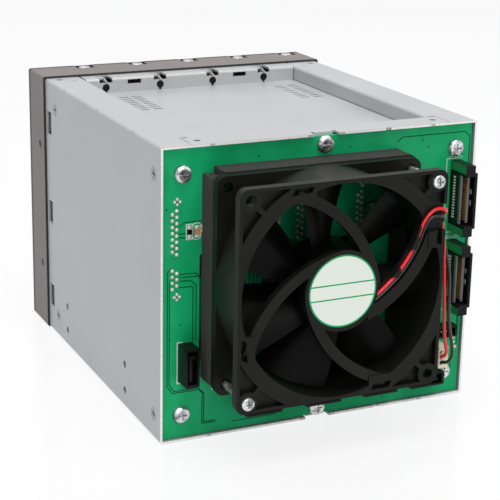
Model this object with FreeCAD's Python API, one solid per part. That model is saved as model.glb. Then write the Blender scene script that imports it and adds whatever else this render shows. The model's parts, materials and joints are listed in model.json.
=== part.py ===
import FreeCAD, Part
import math
import os
from FreeCAD import Vector

os.makedirs("parts", exist_ok=True)

# A five-bay hot swap drive cage that fills three full-width front bays of a chassis.
# Millimetres, +Z up.  The moulded bezel faces -Y and the fan faces +Y.
# The origin is at the bottom centre of the whole cage.

# ------------------------------------------------------------------ driving sizes
STEEL = 1.0                  # sheet thickness of every panel
DIVIDER_STEEL = 0.8
BEND = 1.3                   # outside bend radius
FIT_GAP = 0.3                # named clearance between pieces that only meet
RUN_GAP = 0.05               # radial clearance of a shaft in its hole
DRIVE_HEIGHT = 26.1          # thickness of a 3.5 inch drive, here across the cage
DRIVE_WIDTH = 101.6          # stands upright in the bay
BAY_SLACK = 1.1              # room between a drive and the next divider
BAY_COUNT = 5
BAY_PITCH = DRIVE_HEIGHT + DIVIDER_STEEL + BAY_SLACK
SIDE_MARGIN = 3.0            # from the outer bays to the body's side faces
PAN_RECESS = 7.0             # the top and bottom panels are pans sunk this deep
GLIDE_HEIGHT = 3.9           # moulded glides between a pan and the drives
BODY_WIDTH = BAY_COUNT * BAY_PITCH + 2 * SIDE_MARGIN
BODY_HEIGHT = DRIVE_WIDTH + 2 * (PAN_RECESS + STEEL + GLIDE_HEIGHT + FIT_GAP)
BODY_DEPTH = 150.0
BEZEL_DEPTH = 24.0
BEZEL_SIDE_LIP = 1.0         # how far the bezel stands proud of the body at each side
BEZEL_TOP_LIP = 1.0
BEZEL_WALL = 2.2

# sheet metal
FLANGE_WIDTH = 17.5          # side panel's folded top and bottom flanges
FRONT_STRIP = 8.0            # raised strip ahead of the pan
REAR_STRIP = 13.6            # raised strip behind the pan
STRIP_SEAM = BODY_WIDTH / 2 - 13.6       # half width of the rear strip
MOUNT_HOLE_R = 1.7
MOUNT_SPACING = 79.25        # 5.25 inch device side holes, front to rear
MOUNT_ROW = 11.94            # and between the two rows
MOUNT_REAR = 42.0            # rear holes, ahead of the body's rear edge
MOUNT_LOW = 8.0              # lower row above the base
CORNER_SCREW_FRONT = 14.6    # countersunk screws, from the body's front edge
CORNER_SCREW_REAR = 7.6
CORNER_SCREW_LOW = 10.8      # lower ones above the base
CORNER_SCREW_HIGH = 12.2     # upper ones below the top face
CLIP_SLOT = 11.2             # height of the slots the bezel clips snap into
CLIP_SLOT_WIDTH = 6.0
CLIP_SLOT_FRONT = 2.2        # front web left ahead of a slot
CLIP_HEIGHTS = (18.4, 61.3, 105.5)

# backplane
BOARD_INSET = 1.4            # board's rear face ahead of the body's rear edge
BOARD_THICK = 1.6
BOARD_EDGE = 0.6             # gap round the board inside the sheet metal
BOARD_SCREW_X = BODY_WIDTH / 2 - 9.7
BOARD_SCREW_INSET = 11.6
BOARD_MID_SCREW_INSET = 4.7
BOARD_SCREW_HEAD_R = 3.75
BOARD_SCREW_HEAD = 2.2
BOARD_SCREW_R = 1.45
TAB_SIZE = 13.0              # folded corner tabs that take the board screws
SOCKET_OFFSET = 10.5         # drive connector's column from the bay's middle
SOCKET_LENGTH = 43.0
SOCKET_MID_Z = 83.6
SOCKET_DEPTH = 8.6

# fan
FAN_SIZE = 92.0
FAN_DEPTH = 25.0
FAN_STANDOFF = 10.0          # fan's inner flange behind the body's rear edge
FAN_X = 8.9
FAN_Z = BODY_HEIGHT / 2 + 7.0
FAN_HOLE = 82.5              # hole spacing
FAN_HOLE_R = 2.25
FAN_CORNER_R = 4.0
FAN_BORE_R = 44.6
FAN_FLANGE = 4.0
FAN_SCREW_R = 1.6
FAN_SCREW_HEAD_R = 2.75
FAN_SCREW_HEAD = 1.6
HUB_R = 17.6
BLADE_TIP_R = 43.4
BLADE_COUNT = 7
BLADE_TURN = 8.9             # first blade from the vertical
SHAFT_R = 1.5
LABEL_R = 15.15
FOAM_WIDTH = 5.0

# doors
DOOR_GAP = 0.5
DOOR_THICK = 3.0
DOOR_SILL = 4.2              # bezel left below the doors
DOOR_HEAD = 4.6              # bezel left above the doors
HINGE_PIN_R = 1.0
HINGE_BARREL_R = 2.4
LATCH_OFFSET = -9.4          # latch bar's place on its door
LATCH_R = 2.9
LATCH_TRAVEL = 4.0
NOTCH_WIDTH = 8.8
NOTCH_DEPTH = 8.0            # front to back

# ------------------------------------------------------------------ stations
OVERALL_DEPTH = BEZEL_DEPTH + BODY_DEPTH + FAN_STANDOFF + FAN_DEPTH + FAN_SCREW_HEAD
FRONT = -OVERALL_DEPTH / 2
BODY_FRONT = FRONT + BEZEL_DEPTH
BODY_REAR = BODY_FRONT + BODY_DEPTH
BOARD_REAR = BODY_REAR - BOARD_INSET
BOARD_FRONT = BOARD_REAR - BOARD_THICK
FAN_FRONT = BODY_REAR + FAN_STANDOFF
FAN_REAR = FAN_FRONT + FAN_DEPTH
HALF = BODY_WIDTH / 2
BEZEL_HALF = HALF + BEZEL_SIDE_LIP
BEZEL_TOP = BODY_HEIGHT + BEZEL_TOP_LIP
MID_Z = BODY_HEIGHT / 2
FLANGE_INNER = HALF - FLANGE_WIDTH
PAN_TOP = BODY_HEIGHT - PAN_RECESS
BAYS = [BAY_PITCH * (i - (BAY_COUNT - 1) / 2) for i in range(BAY_COUNT)]
DIVIDERS = [BAY_PITCH * (i - BAY_COUNT / 2) for i in range(1, BAY_COUNT)]

made = {}


def save(node, shape):
    """Writes one node's solids as a STEP file."""
    shape = shape.removeSplitter() if shape.ShapeType == "Solid" else shape
    shape.exportStep("parts/" + node + ".step")
    made[node] = shape


def box(x0, y0, z0, x1, y1, z1):
    return Part.makeBox(x1 - x0, y1 - y0, z1 - z0, Vector(x0, y0, z0))


def rod_x(x0, x1, y, z, r):
    return Part.makeCylinder(r, x1 - x0, Vector(x0, y, z), Vector(1, 0, 0))


def rod_y(x, z, r, y0, y1):
    return Part.makeCylinder(r, y1 - y0, Vector(x, y0, z), Vector(0, 1, 0))


def rod_z(x, y, r, z0, z1):
    return Part.makeCylinder(r, z1 - z0, Vector(x, y, z0), Vector(0, 0, 1))


def cone_x(x0, x1, y, z, r0, r1):
    return Part.makeCone(r0, r1, x1 - x0, Vector(x0, y, z), Vector(1, 0, 0))


def union(shapes):
    first = shapes[0]
    return first.multiFuse(shapes[1:]).removeSplitter() if len(shapes) > 1 else first


def carve(shape, tools):
    return shape.cut(tools) if tools else shape


def prism(points, direction):
    """Extrudes the closed polygon of points along direction."""
    wire = Part.makePolygon([Vector(*p) for p in points] + [Vector(*points[0])])
    return Part.Face(wire).extrude(Vector(*direction))


def mirror_x(shape):
    return shape.mirror(Vector(0, 0, 0), Vector(1, 0, 0))


def mirror_z(shape):
    return shape.mirror(Vector(0, 0, MID_Z), Vector(0, 0, 1))


def round_edges(shape, radius, wanted):
    """Fillets the straight edges for which wanted(middle, direction) is true."""
    edges = []
    for edge in shape.Edges:
        if not isinstance(edge.Curve, Part.Line):
            continue
        along = (edge.Vertexes[-1].Point - edge.Vertexes[0].Point).normalize()
        if wanted(edge.CenterOfMass, along):
            edges.append(edge)
    return shape.makeFillet(radius, edges) if edges else shape


def along_y(along):
    return abs(along.y) > 0.99


def along_x(along):
    return abs(along.x) > 0.99


def along_z(along):
    return abs(along.z) > 0.99


def capsule_slot(x, y, half_length, half_width, z0, z1):
    """A slot cutter with round ends, long side along X, cutting from z0 to z1."""
    reach = half_length - half_width
    middle = box(x - reach, y - half_width, z0, x + reach, y + half_width, z1)
    ends = [rod_z(x - reach, y, half_width, z0, z1), rod_z(x + reach, y, half_width, z0, z1)]
    return union([middle] + ends)


# ------------------------------------------------------------------ side panels
TAB_FRONT = BOARD_FRONT - STEEL
TAB_REACH = HALF - TAB_SIZE - STEEL
MOUNT_Y = (BODY_REAR - MOUNT_REAR - MOUNT_SPACING, BODY_REAR - MOUNT_REAR)
MOUNT_Z = (MOUNT_LOW, MOUNT_LOW + MOUNT_ROW)
SCREW_Y = (BODY_FRONT + CORNER_SCREW_FRONT, BODY_REAR - CORNER_SCREW_REAR)
SCREW_Z = (CORNER_SCREW_LOW, BODY_HEIGHT - CORNER_SCREW_HIGH)
SCREW_HEAD_R = 3.2
SCREW_SHANK_R = 1.45
SCREW_SINK = 1.4             # depth of the countersink's full cone
RIVET_FRONT = 4.5
RIVET_X = HALF - 5.6
RIVET_R = 1.5
REAR_RIVET_X = STRIP_SEAM - 4.6
REAR_RIVET_Y = BODY_REAR - 7.0


def flange_profile():
    """Half of the side panel's C section: flange, bend and return lip."""
    top = BODY_HEIGHT
    lip_foot = PAN_TOP + FIT_GAP
    return [(HALF, 0, MID_Z), (HALF, 0, top), (FLANGE_INNER, 0, top), (FLANGE_INNER, 0, lip_foot),
            (FLANGE_INNER + STEEL, 0, lip_foot), (FLANGE_INNER + STEEL, 0, top - STEEL),
            (HALF - STEEL, 0, top - STEEL), (HALF - STEEL, 0, MID_Z)]


def side_flange_half():
    points = [(x, BODY_FRONT, z) for x, _, z in flange_profile()]
    half = prism(points, (0, BODY_DEPTH, 0))
    half = round_edges(half, BEND, lambda c, a: along_y(a) and c.z > BODY_HEIGHT - 0.01)
    strip_front = BODY_REAR - REAR_STRIP
    lip_end = BODY_FRONT + FRONT_STRIP + STEEL
    under = BODY_HEIGHT - STEEL
    cuts = [box(0, strip_front - FIT_GAP, PAN_TOP, STRIP_SEAM + FIT_GAP, BODY_REAR + 1, BODY_HEIGHT + 1),
            box(0, BODY_FRONT - 1, PAN_TOP, FLANGE_INNER + STEEL + FIT_GAP, lip_end, under)]
    cuts.append(capsule_slot(HALF - 11.3, BODY_FRONT + 9.2, 1.9, 0.4, under - 1, BODY_HEIGHT + 1))
    for tick in (27.4, 73.0, 117.7):
        cuts.append(box(HALF - BEND, BODY_FRONT + tick, BODY_HEIGHT - BEND,
                        HALF + 1, BODY_FRONT + tick + 0.5, BODY_HEIGHT + 1))
    half = carve(half, cuts)
    ear = box(REAR_RIVET_X - 4, strip_front + STEEL + FIT_GAP, under - STEEL,
              STRIP_SEAM + 3, BOARD_FRONT - STEEL - FIT_GAP, under)
    step = box(STRIP_SEAM + FIT_GAP, strip_front + STEEL + FIT_GAP, under - STEEL,
               STRIP_SEAM + 3, BOARD_FRONT - STEEL - FIT_GAP, BODY_HEIGHT - STEEL / 2)
    tab = box(TAB_REACH, TAB_FRONT, BODY_HEIGHT - BOARD_SCREW_INSET - TAB_SIZE / 2,
              HALF - STEEL / 2, TAB_FRONT + STEEL, BODY_HEIGHT - BOARD_SCREW_INSET + TAB_SIZE / 2)
    return union([half, ear, step, tab])


def side_panel():
    upper = side_flange_half()
    panel = union([upper, mirror_z(upper)])
    cuts = []
    for y in MOUNT_Y:
        cuts += [rod_x(HALF - 2, HALF + 1, y, z, MOUNT_HOLE_R) for z in MOUNT_Z]
    for y in SCREW_Y:
        for z in SCREW_Z:
            cuts.append(rod_x(HALF - 2, HALF + 1, y, z, SCREW_SHANK_R + RUN_GAP))
            cuts.append(cone_x(HALF - SCREW_SINK, HALF, y, z, SCREW_SHANK_R, SCREW_HEAD_R))
    for z in CLIP_HEIGHTS:
        y0 = BODY_FRONT + CLIP_SLOT_FRONT
        cuts.append(box(HALF - 2, y0, z - CLIP_SLOT / 2, HALF + 1, y0 + CLIP_SLOT_WIDTH, z + CLIP_SLOT / 2))
    for z in (BOARD_SCREW_INSET, BODY_HEIGHT - BOARD_SCREW_INSET):
        cuts.append(rod_y(BOARD_SCREW_X, z, BOARD_SCREW_R, TAB_FRONT - 1, BOARD_FRONT + 1))
    for z0, z1 in ((-1, 3), (BODY_HEIGHT - 3, BODY_HEIGHT + 1)):
        cuts.append(rod_z(RIVET_X, BODY_FRONT + RIVET_FRONT, RIVET_R, z0, z1))
        cuts.append(rod_z(REAR_RIVET_X, REAR_RIVET_Y, RIVET_R, z0, z1))
    return carve(panel, cuts)


# ------------------------------------------------------------------ top and bottom panels
HOOK_OFFSET = 3.4            # a divider's hook beside its web
HOOK_WIDTH = 6.6
HOOK_SLOT = 1.2
KEYHOLE_R = 1.4
KEYHOLE_HALF = 0.6           # half width of the keyhole's stem
KEYHOLE_DROP = 4.4           # keyhole's centre below the panel's top face
LOCATING_SLOT = 7.0
LOCATING_OFFSET = HOOK_OFFSET - 0.6
VENT_PITCH = 4.15
VENT_ROWS = 8
VENT_WIDTH = 1.6
VENT_HALF_LENGTH = 2.3
VENT_COLUMNS = (41.2, 35.0, -40.9, -48.0)
VENT_START = 21.0            # first vent row behind the body's front edge
CENTRE_TAB = 8.6


def pan_panel():
    """Top panel: a pan between two raised strips, with a folded tab for the board's middle screw."""
    top = BODY_HEIGHT
    under = top - STEEL
    floor_top = PAN_TOP
    wall_front = BODY_FRONT + FRONT_STRIP
    strip_front = BODY_REAR - REAR_STRIP
    half_front = FLANGE_INNER - FIT_GAP
    half_floor = FLANGE_INNER + 4.5
    front_strip = box(-half_front, BODY_FRONT, under, half_front, wall_front + STEEL, top)
    front_wall = box(-half_front, wall_front, floor_top - STEEL, half_front, wall_front + STEEL, top)
    floor = box(-half_floor, wall_front, floor_top - STEEL, half_floor, strip_front + STEEL, floor_top)
    rear_wall = box(-half_front, strip_front, floor_top - STEEL, half_front, strip_front + STEEL, top)
    rear_strip = box(-STRIP_SEAM, strip_front, under, STRIP_SEAM, BODY_REAR, top)
    ears = []
    for side in (-1, 1):
        x0, x1 = sorted((side * (half_front - 5), side * (RIVET_X + 3)))
        ears.append(box(x0, BODY_FRONT + 0.8, under - STEEL, x1, wall_front - 0.6, under))
    panel = union([front_strip, front_wall, floor, rear_wall, rear_strip] + ears)
    panel = round_edges(panel, BEND, lambda c, a: along_x(a) and abs(c.z - top) < 0.01
                        and (abs(c.y - wall_front - STEEL) < 0.01 or abs(c.y - strip_front) < 0.01))
    tab_y = BOARD_FRONT - STEEL
    relief = [box(x - 0.7, BODY_REAR - 4.4, under - 1, x + 0.7, BODY_REAR + 1, top + 1)
              for x in (-CENTRE_TAB / 2 - 0.7, CENTRE_TAB / 2 + 0.7)]
    relief.append(box(-CENTRE_TAB / 2, BOARD_FRONT, under - 1, CENTRE_TAB / 2, BODY_REAR + 1, top + 1))
    notch_x = 29.1
    relief.append(box(-notch_x - 1.2, BODY_REAR - 0.8, under - 1, -notch_x + 1.2, BODY_REAR + 1, top + 1))
    for side in (-1, 1):
        relief.append(rod_z(side * REAR_RIVET_X, REAR_RIVET_Y, RIVET_R, under - 2, top + 1))
        relief.append(rod_z(side * RIVET_X, BODY_FRONT + RIVET_FRONT, RIVET_R, under - 2, top + 1))
    for x in [divider + HOOK_OFFSET for divider in DIVIDERS]:
        relief.append(box(x - HOOK_WIDTH / 2, BODY_FRONT + 0.8, top - HOOK_SLOT - STEEL,
                          x + HOOK_WIDTH / 2, wall_front + STEEL + 1, top + 1))
        relief.append(rod_y(x, top - KEYHOLE_DROP, KEYHOLE_R, wall_front - 1, wall_front + STEEL + 1))
        relief.append(box(x - KEYHOLE_HALF, wall_front - 1, floor_top,
                          x + KEYHOLE_HALF, wall_front + STEEL + 1, top - KEYHOLE_DROP))
    for x in (LOCATING_OFFSET - BAY_PITCH, LOCATING_OFFSET + BAY_PITCH):
        relief.append(box(x - LOCATING_SLOT / 2, wall_front - 1, top - 3.2,
                          x + LOCATING_SLOT / 2, wall_front + STEEL + 1, top - 1.1))
    panel = carve(panel, relief)
    tab = box(-CENTRE_TAB / 2, tab_y, top - BOARD_MID_SCREW_INSET - 6.5, CENTRE_TAB / 2, BOARD_FRONT, top)
    tab = round_edges(tab, STEEL * 0.9, lambda c, a: along_x(a) and c.z > top - 0.1 and c.y > tab_y + 0.5)
    panel = union([panel, tab])
    hole = rod_y(0, top - BOARD_MID_SCREW_INSET, BOARD_SCREW_R, tab_y - 1, BOARD_FRONT + 1)
    return carve(panel, [hole])


def vents():
    """Two groups of short slits through the pan, two columns in each."""
    cutters = []
    for column in VENT_COLUMNS:
        for row in range(VENT_ROWS):
            y = BODY_FRONT + VENT_START + VENT_PITCH * row
            cutters.append(box(column - VENT_HALF_LENGTH, y, PAN_TOP - 3,
                               column + VENT_HALF_LENGTH, y + VENT_WIDTH, PAN_TOP + 1))
    return cutters


# ------------------------------------------------------------------ bay dividers and guides
DIVIDER_FRONT = BODY_FRONT + 1.2
PAN_WALL = BODY_FRONT + FRONT_STRIP
GLIDE_FRONT = PAN_WALL + 6.0
DIVIDER_REAR = BOARD_FRONT - SOCKET_DEPTH - 3.0
DIVIDER_FOOT = 5.0


def bay_divider(x):
    """Upright sheet with folded feet, hooked up through the windows in the pans' front strips."""
    low = BODY_HEIGHT - PAN_TOP + STEEL
    high = PAN_TOP - STEEL
    top = BODY_HEIGHT
    t = DIVIDER_STEEL
    hook_x = x + HOOK_OFFSET
    horn_rear = PAN_WALL - FIT_GAP
    web = box(x - t / 2, DIVIDER_FRONT, low, x + t / 2, DIVIDER_REAR, high)
    bridge = box(x - t / 2, DIVIDER_FRONT, high - t, hook_x + t / 2, horn_rear, high)
    horn = box(hook_x - t / 2, DIVIDER_FRONT, high - t, hook_x + t / 2, horn_rear, top - 0.4)
    flap = box(hook_x - t / 2, DIVIDER_FRONT, top - 0.4 - t, hook_x + 3.0, PAN_WALL - 2.4, top - 0.4)
    lug = box(hook_x - t / 2, PAN_WALL - 1, top - 1.9, hook_x + t / 2, PAN_WALL + STEEL + 0.9, top - 1.2)
    foot = box(x - t / 2, GLIDE_FRONT, high - t, x + DIVIDER_FOOT, DIVIDER_REAR, high)
    upper = [bridge, horn, flap, lug, foot]
    return union([web] + upper + [mirror_z(piece) for piece in upper])


def drive_glides(upper):
    """One ribbed moulded glide per bay, on the pan's floor, that the drive's edge slides on."""
    glides = []
    gap = GLIDE_HEIGHT
    for x in BAYS:
        z1 = PAN_TOP - STEEL
        base = box(x - 7, GLIDE_FRONT, z1 - gap + 1.4, x + 5.5, DIVIDER_REAR - 6, z1)
        ribs = [box(x + dx - 0.9, GLIDE_FRONT, z1 - gap, x + dx + 0.9, DIVIDER_REAR - 6, z1)
                for dx in (-6.1, -0.7, 4.6)]
        glide = union([base] + ribs)
        glides.append(glide if upper else mirror_z(glide))
    return Part.makeCompound(glides)


# ------------------------------------------------------------------ backplane
BOARD_HALF = HALF - STEEL - BOARD_EDGE
BOARD_Z = (STEEL + 0.3, BODY_HEIGHT - STEEL - 0.3)
WINDOW_WIDTH = 13.0          # air windows between the drive connectors
WINDOW_Z = (34.0, 80.5)
WINDOW_EDGE = 0.5
WINDOWS = [x + BAY_PITCH / 2 for x in BAYS[1:4]]
BOARD_SCREW_Z = (BOARD_SCREW_INSET, BODY_HEIGHT - BOARD_SCREW_INSET)
BOARD_SCREWS = ([(side * BOARD_SCREW_X, z) for side in (-1, 1) for z in BOARD_SCREW_Z]
                + [(0.0, BOARD_MID_SCREW_INSET), (0.0, BODY_HEIGHT - BOARD_MID_SCREW_INSET)])
FAN_SCREWS = ((-1, 1), (1, -1))   # corners of the fan that have a screw, as signs of X and Z


def backplane_board():
    board = box(-BOARD_HALF, BOARD_FRONT, BOARD_Z[0], BOARD_HALF, BOARD_REAR, BOARD_Z[1])
    cuts = [rod_y(x, z, BOARD_SCREW_R + 0.15, BOARD_FRONT - 1, BOARD_REAR + 1) for x, z in BOARD_SCREWS]
    for sx, sz in FAN_SCREWS:
        cuts.append(rod_y(FAN_X + sx * FAN_HOLE / 2, FAN_Z + sz * FAN_HOLE / 2, FAN_SCREW_R + 0.15,
                          BOARD_FRONT - 1, BOARD_REAR + 1))
    for edge in WINDOWS:
        x0 = edge + WINDOW_EDGE
        window = box(x0, BOARD_FRONT - 1, WINDOW_Z[0], x0 + WINDOW_WIDTH, BOARD_REAR + 1, WINDOW_Z[1])
        cuts.append(round_edges(window, 1.5, lambda c, a: along_y(a)))
    return carve(board, cuts)


def drive_connector(x):
    """Board-mounted receptacle with the signal and power slots and a guide post at each end."""
    z0 = SOCKET_MID_Z - SOCKET_LENGTH / 2
    z1 = SOCKET_MID_Z + SOCKET_LENGTH / 2
    y0 = BOARD_FRONT - SOCKET_DEPTH
    body = box(x - 2.9, y0, z0 + 3.2, x + 2.9, BOARD_FRONT, z1 - 3.2)
    arms = [box(x - 2.1, y0 - 2.5, z, x + 2.1, BOARD_FRONT, z + 3.2) for z in (z0, z1 - 3.2)]
    slots = [box(x - 1.3, y0 - 1, z0 + 5.0, x + 1.3, y0 + 5.5, z0 + 14.4),
             box(x - 1.3, y0 - 1, z0 + 16.8, x + 1.3, y0 + 5.5, z0 + 38.0)]
    return carve(union([body] + arms), slots)


DATA_WIDTH = 6.3
DATA_LENGTH = 16.9
DATA_DEPTH = 8.0
UPRIGHT_DATA = (HALF - 11.55, 34.45)
LOWER_DATA_X = (28.5, 0.5, -27.5, -51.0)
LOWER_DATA_Z = 11.9


def data_connector(x, z, turned):
    """Seven-contact signal plug: an open shroud round an L-shaped tongue; turned lays it on its side."""
    x0, x1 = x - DATA_WIDTH / 2, x + DATA_WIDTH / 2
    z0, z1 = z - DATA_LENGTH / 2, z + DATA_LENGTH / 2
    rear = BOARD_REAR + DATA_DEPTH
    shroud = box(x0, BOARD_REAR, z0, x1, rear, z1)
    shroud = round_edges(shroud, 0.6, lambda c, a: along_y(a))
    cavity = box(x0 + 1.0, BOARD_REAR + 1.6, z0 + 1.2, x1 - 1.0, rear + 1, z1 - 1.2)
    tongue = box(x1 - 3.1, BOARD_REAR, z0 + 2.7, x1 - 1.9, rear - 0.6, z1 - 3.4)
    key = box(x1 - 4.4, BOARD_REAR, z1 - 4.7, x1 - 1.9, rear - 0.6, z1 - 3.4)
    plug = union([carve(shroud, [cavity]), union([tongue, key])])
    if turned:
        plug.rotate(Vector(x, 0, z), Vector(0, 1, 0), 90)
    return plug


POWER_X = (-HALF + 6.4, -HALF + 11.2)
POWER_LENGTH = 31.4
POWER_DEPTH = 12.0
POWER_TOPS = (108.8, 73.0)
LATCH_WINDOWS = ((13.5, 11.1), (18.6, 15.9))     # below the plug's top


def power_connector(top):
    """Fifteen-contact upright power plug, with two latch windows in its outer wall."""
    x0, x1 = POWER_X
    z1 = top
    z0 = top - POWER_LENGTH
    rear = BOARD_REAR + POWER_DEPTH
    shell = box(x0 - 1.2, BOARD_REAR, z0 + 3.4, x1, rear, z1 - 3.4)
    ends = [box(x0, BOARD_REAR, z0, x1, rear, z0 + 3.6), box(x0, BOARD_REAR, z1 - 3.6, x1, rear, z1)]
    cavity = box(x0, BOARD_REAR + 2.2, z0 + 4.8, x1 - 1.2, rear + 1, z1 - 4.8)
    relief = box(x1 - 0.45, BOARD_REAR + 1.0, z0 + 3.8, x1 + 1, rear + 1, z1 - 3.8)
    rim_cut = box(x1 - 1.4, BOARD_REAR + 8.0, z0 + 4.8, x1 + 1, rear + 1, z1 - 4.8)
    windows = [box(x0 - 2, BOARD_REAR + 6.5, top - a, x0 + 0.1, BOARD_REAR + 9.5, top - b)
               for a, b in LATCH_WINDOWS]
    tongue = box(x0 + 0.9, BOARD_REAR, z0 + 5.6, x0 + 2.2, rear - 2.6, z1 - 5.6)
    shell = carve(union([shell] + ends), [cavity, relief, rim_cut] + windows)
    return union([shell, tongue])


HEADER_X = (-HALF + 6.4, -HALF + 16.2)
HEADER_Z = (28.8, 34.6)


def service_header():
    """Small black shrouded header near the lower rear corner of the board."""
    x0, x1 = HEADER_X
    z0, z1 = HEADER_Z
    rear = BOARD_REAR + 5.2
    body = box(x0, BOARD_REAR, z0 + 0.4, x1, rear, z1)
    pocket = box(x0 + 0.9, BOARD_REAR + 1.5, z0 + 1.3, x1 - 0.9, rear + 1, z1 - 0.9)
    pins = [box(x - 0.32, BOARD_REAR, z - 0.32, x + 0.32, rear - 0.8, z + 0.32)
            for x in (x0 + 2.6, x0 + 5.1, x0 + 7.6) for z in ((z0 + z1) / 2 + 0.2,)]
    return union([carve(body, [pocket])] + pins)


PLUG_X = (-HALF + 14.0, -HALF + 20.0)
PLUG_Z = (17.8, 28.2)
PLUG_PINS = (20.5, 23.0, 25.5)
PLUG_MID = -HALF + 17.8
FAN_HEADER_DEPTH = 3.4
PLUG_DEPTH = 10.0


def fan_header():
    """Low three-pin header: a base with a back wall that keeps the plug the right way round."""
    x0, x1 = PLUG_X
    z0, z1 = PLUG_Z
    base = box(x0, BOARD_REAR, z0, x1, BOARD_REAR + FAN_HEADER_DEPTH, z1)
    wall = box(x1 - 1.0, BOARD_REAR, z0 + 1.2, x1, BOARD_REAR + 9.0, z1 - 1.2)
    pins = [box(PLUG_MID - 0.32, BOARD_REAR, z - 0.32, PLUG_MID + 0.32, BOARD_REAR + 8.0, z + 0.32)
            for z in PLUG_PINS]
    return union([base, wall] + pins)


def fan_plug():
    """Crimp housing that sits on the header, with one cavity per contact."""
    x0, x1 = PLUG_X
    z0, z1 = PLUG_Z
    y0 = BOARD_REAR + FAN_HEADER_DEPTH
    y1 = BOARD_REAR + PLUG_DEPTH + 1.4
    body = box(x0 + 0.4, y0, z0 + 0.3, x1 - 1.0 - RUN_GAP, y1, z1 - 0.3)
    ribs = [box(x0, y0, z - 0.4, x0 + 0.6, y1 - 1.5, z + 0.4) for z in (z0 + 2.2, z1 - 2.2)]
    bores = [box(PLUG_MID - 0.45, y0 - 1, z - 0.45, PLUG_MID + 0.45, y0 + 5.2, z + 0.45) for z in PLUG_PINS]
    mouths = [rod_y(PLUG_MID, z, WIRE_R + 0.05, y1 - 2.0, y1 + 1) for z in PLUG_PINS]
    return carve(union([body] + ribs), bores + mouths)


def pan_head_screw(x, z):
    """Cross-recess pan head screw through the board into a folded tab."""
    head = rod_y(x, z, BOARD_SCREW_HEAD_R, BOARD_REAR, BOARD_REAR + BOARD_SCREW_HEAD)
    edge = [e for e in head.Edges if isinstance(e.Curve, Part.Circle) and e.CenterOfMass.y > BOARD_REAR + 1]
    head = head.makeFillet(1.5, edge)
    top = BOARD_REAR + BOARD_SCREW_HEAD
    recess = [box(x - 2.0, top - 1.1, z - 0.35, x + 2.0, top + 1, z + 0.35),
              box(x - 0.35, top - 1.1, z - 2.0, x + 0.35, top + 1, z + 2.0)]
    shank = rod_y(x, z, BOARD_SCREW_R - RUN_GAP, BOARD_REAR - 5.0, BOARD_REAR)
    return union([carve(head, recess), shank])


def countersunk_screw(y, z):
    """Flat head screw flush with the side panel."""
    head = cone_x(HALF - SCREW_SINK, HALF, y, z, SCREW_SHANK_R, SCREW_HEAD_R)
    shank = rod_x(HALF - 5.0, HALF - SCREW_SINK, y, z, SCREW_SHANK_R - RUN_GAP)
    recess = [box(HALF - 0.9, y - 1.7, z - 0.3, HALF + 1, y + 1.7, z + 0.3),
              box(HALF - 0.9, y - 0.3, z - 1.7, HALF + 1, y + 0.3, z + 1.7)]
    return carve(union([head, shank]), recess)


# ------------------------------------------------------------------ bezel
BEZEL_CORNER = 1.0
DOOR_WIDTH = BAY_PITCH - DOOR_GAP
DOOR_LOW = DOOR_SILL
DOOR_HIGH = BEZEL_TOP - DOOR_HEAD
DOOR_FRONT = FRONT + 0.4
DOOR_BACK = DOOR_FRONT + DOOR_THICK
HINGE_Y = DOOR_FRONT + HINGE_BARREL_R
HINGE_Z = DOOR_LOW + HINGE_BARREL_R + 0.3
LATCH_Y = DOOR_FRONT + LATCH_R + 1.1     # latch bar's axis, behind the door's top tongue
LATCH_BACK = LATCH_Y + LATCH_R
FRAME_STOP = LATCH_BACK + 1.7
BAY_HALF_OPENING = 13.35
BAY_LOW = MID_Z - DRIVE_WIDTH / 2 - 0.6
BAY_HIGH = MID_Z + DRIVE_WIDTH / 2 + 0.6
EDGE_SHELF = 5.0             # how far the bezel's inner frame stands behind the doors


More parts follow.
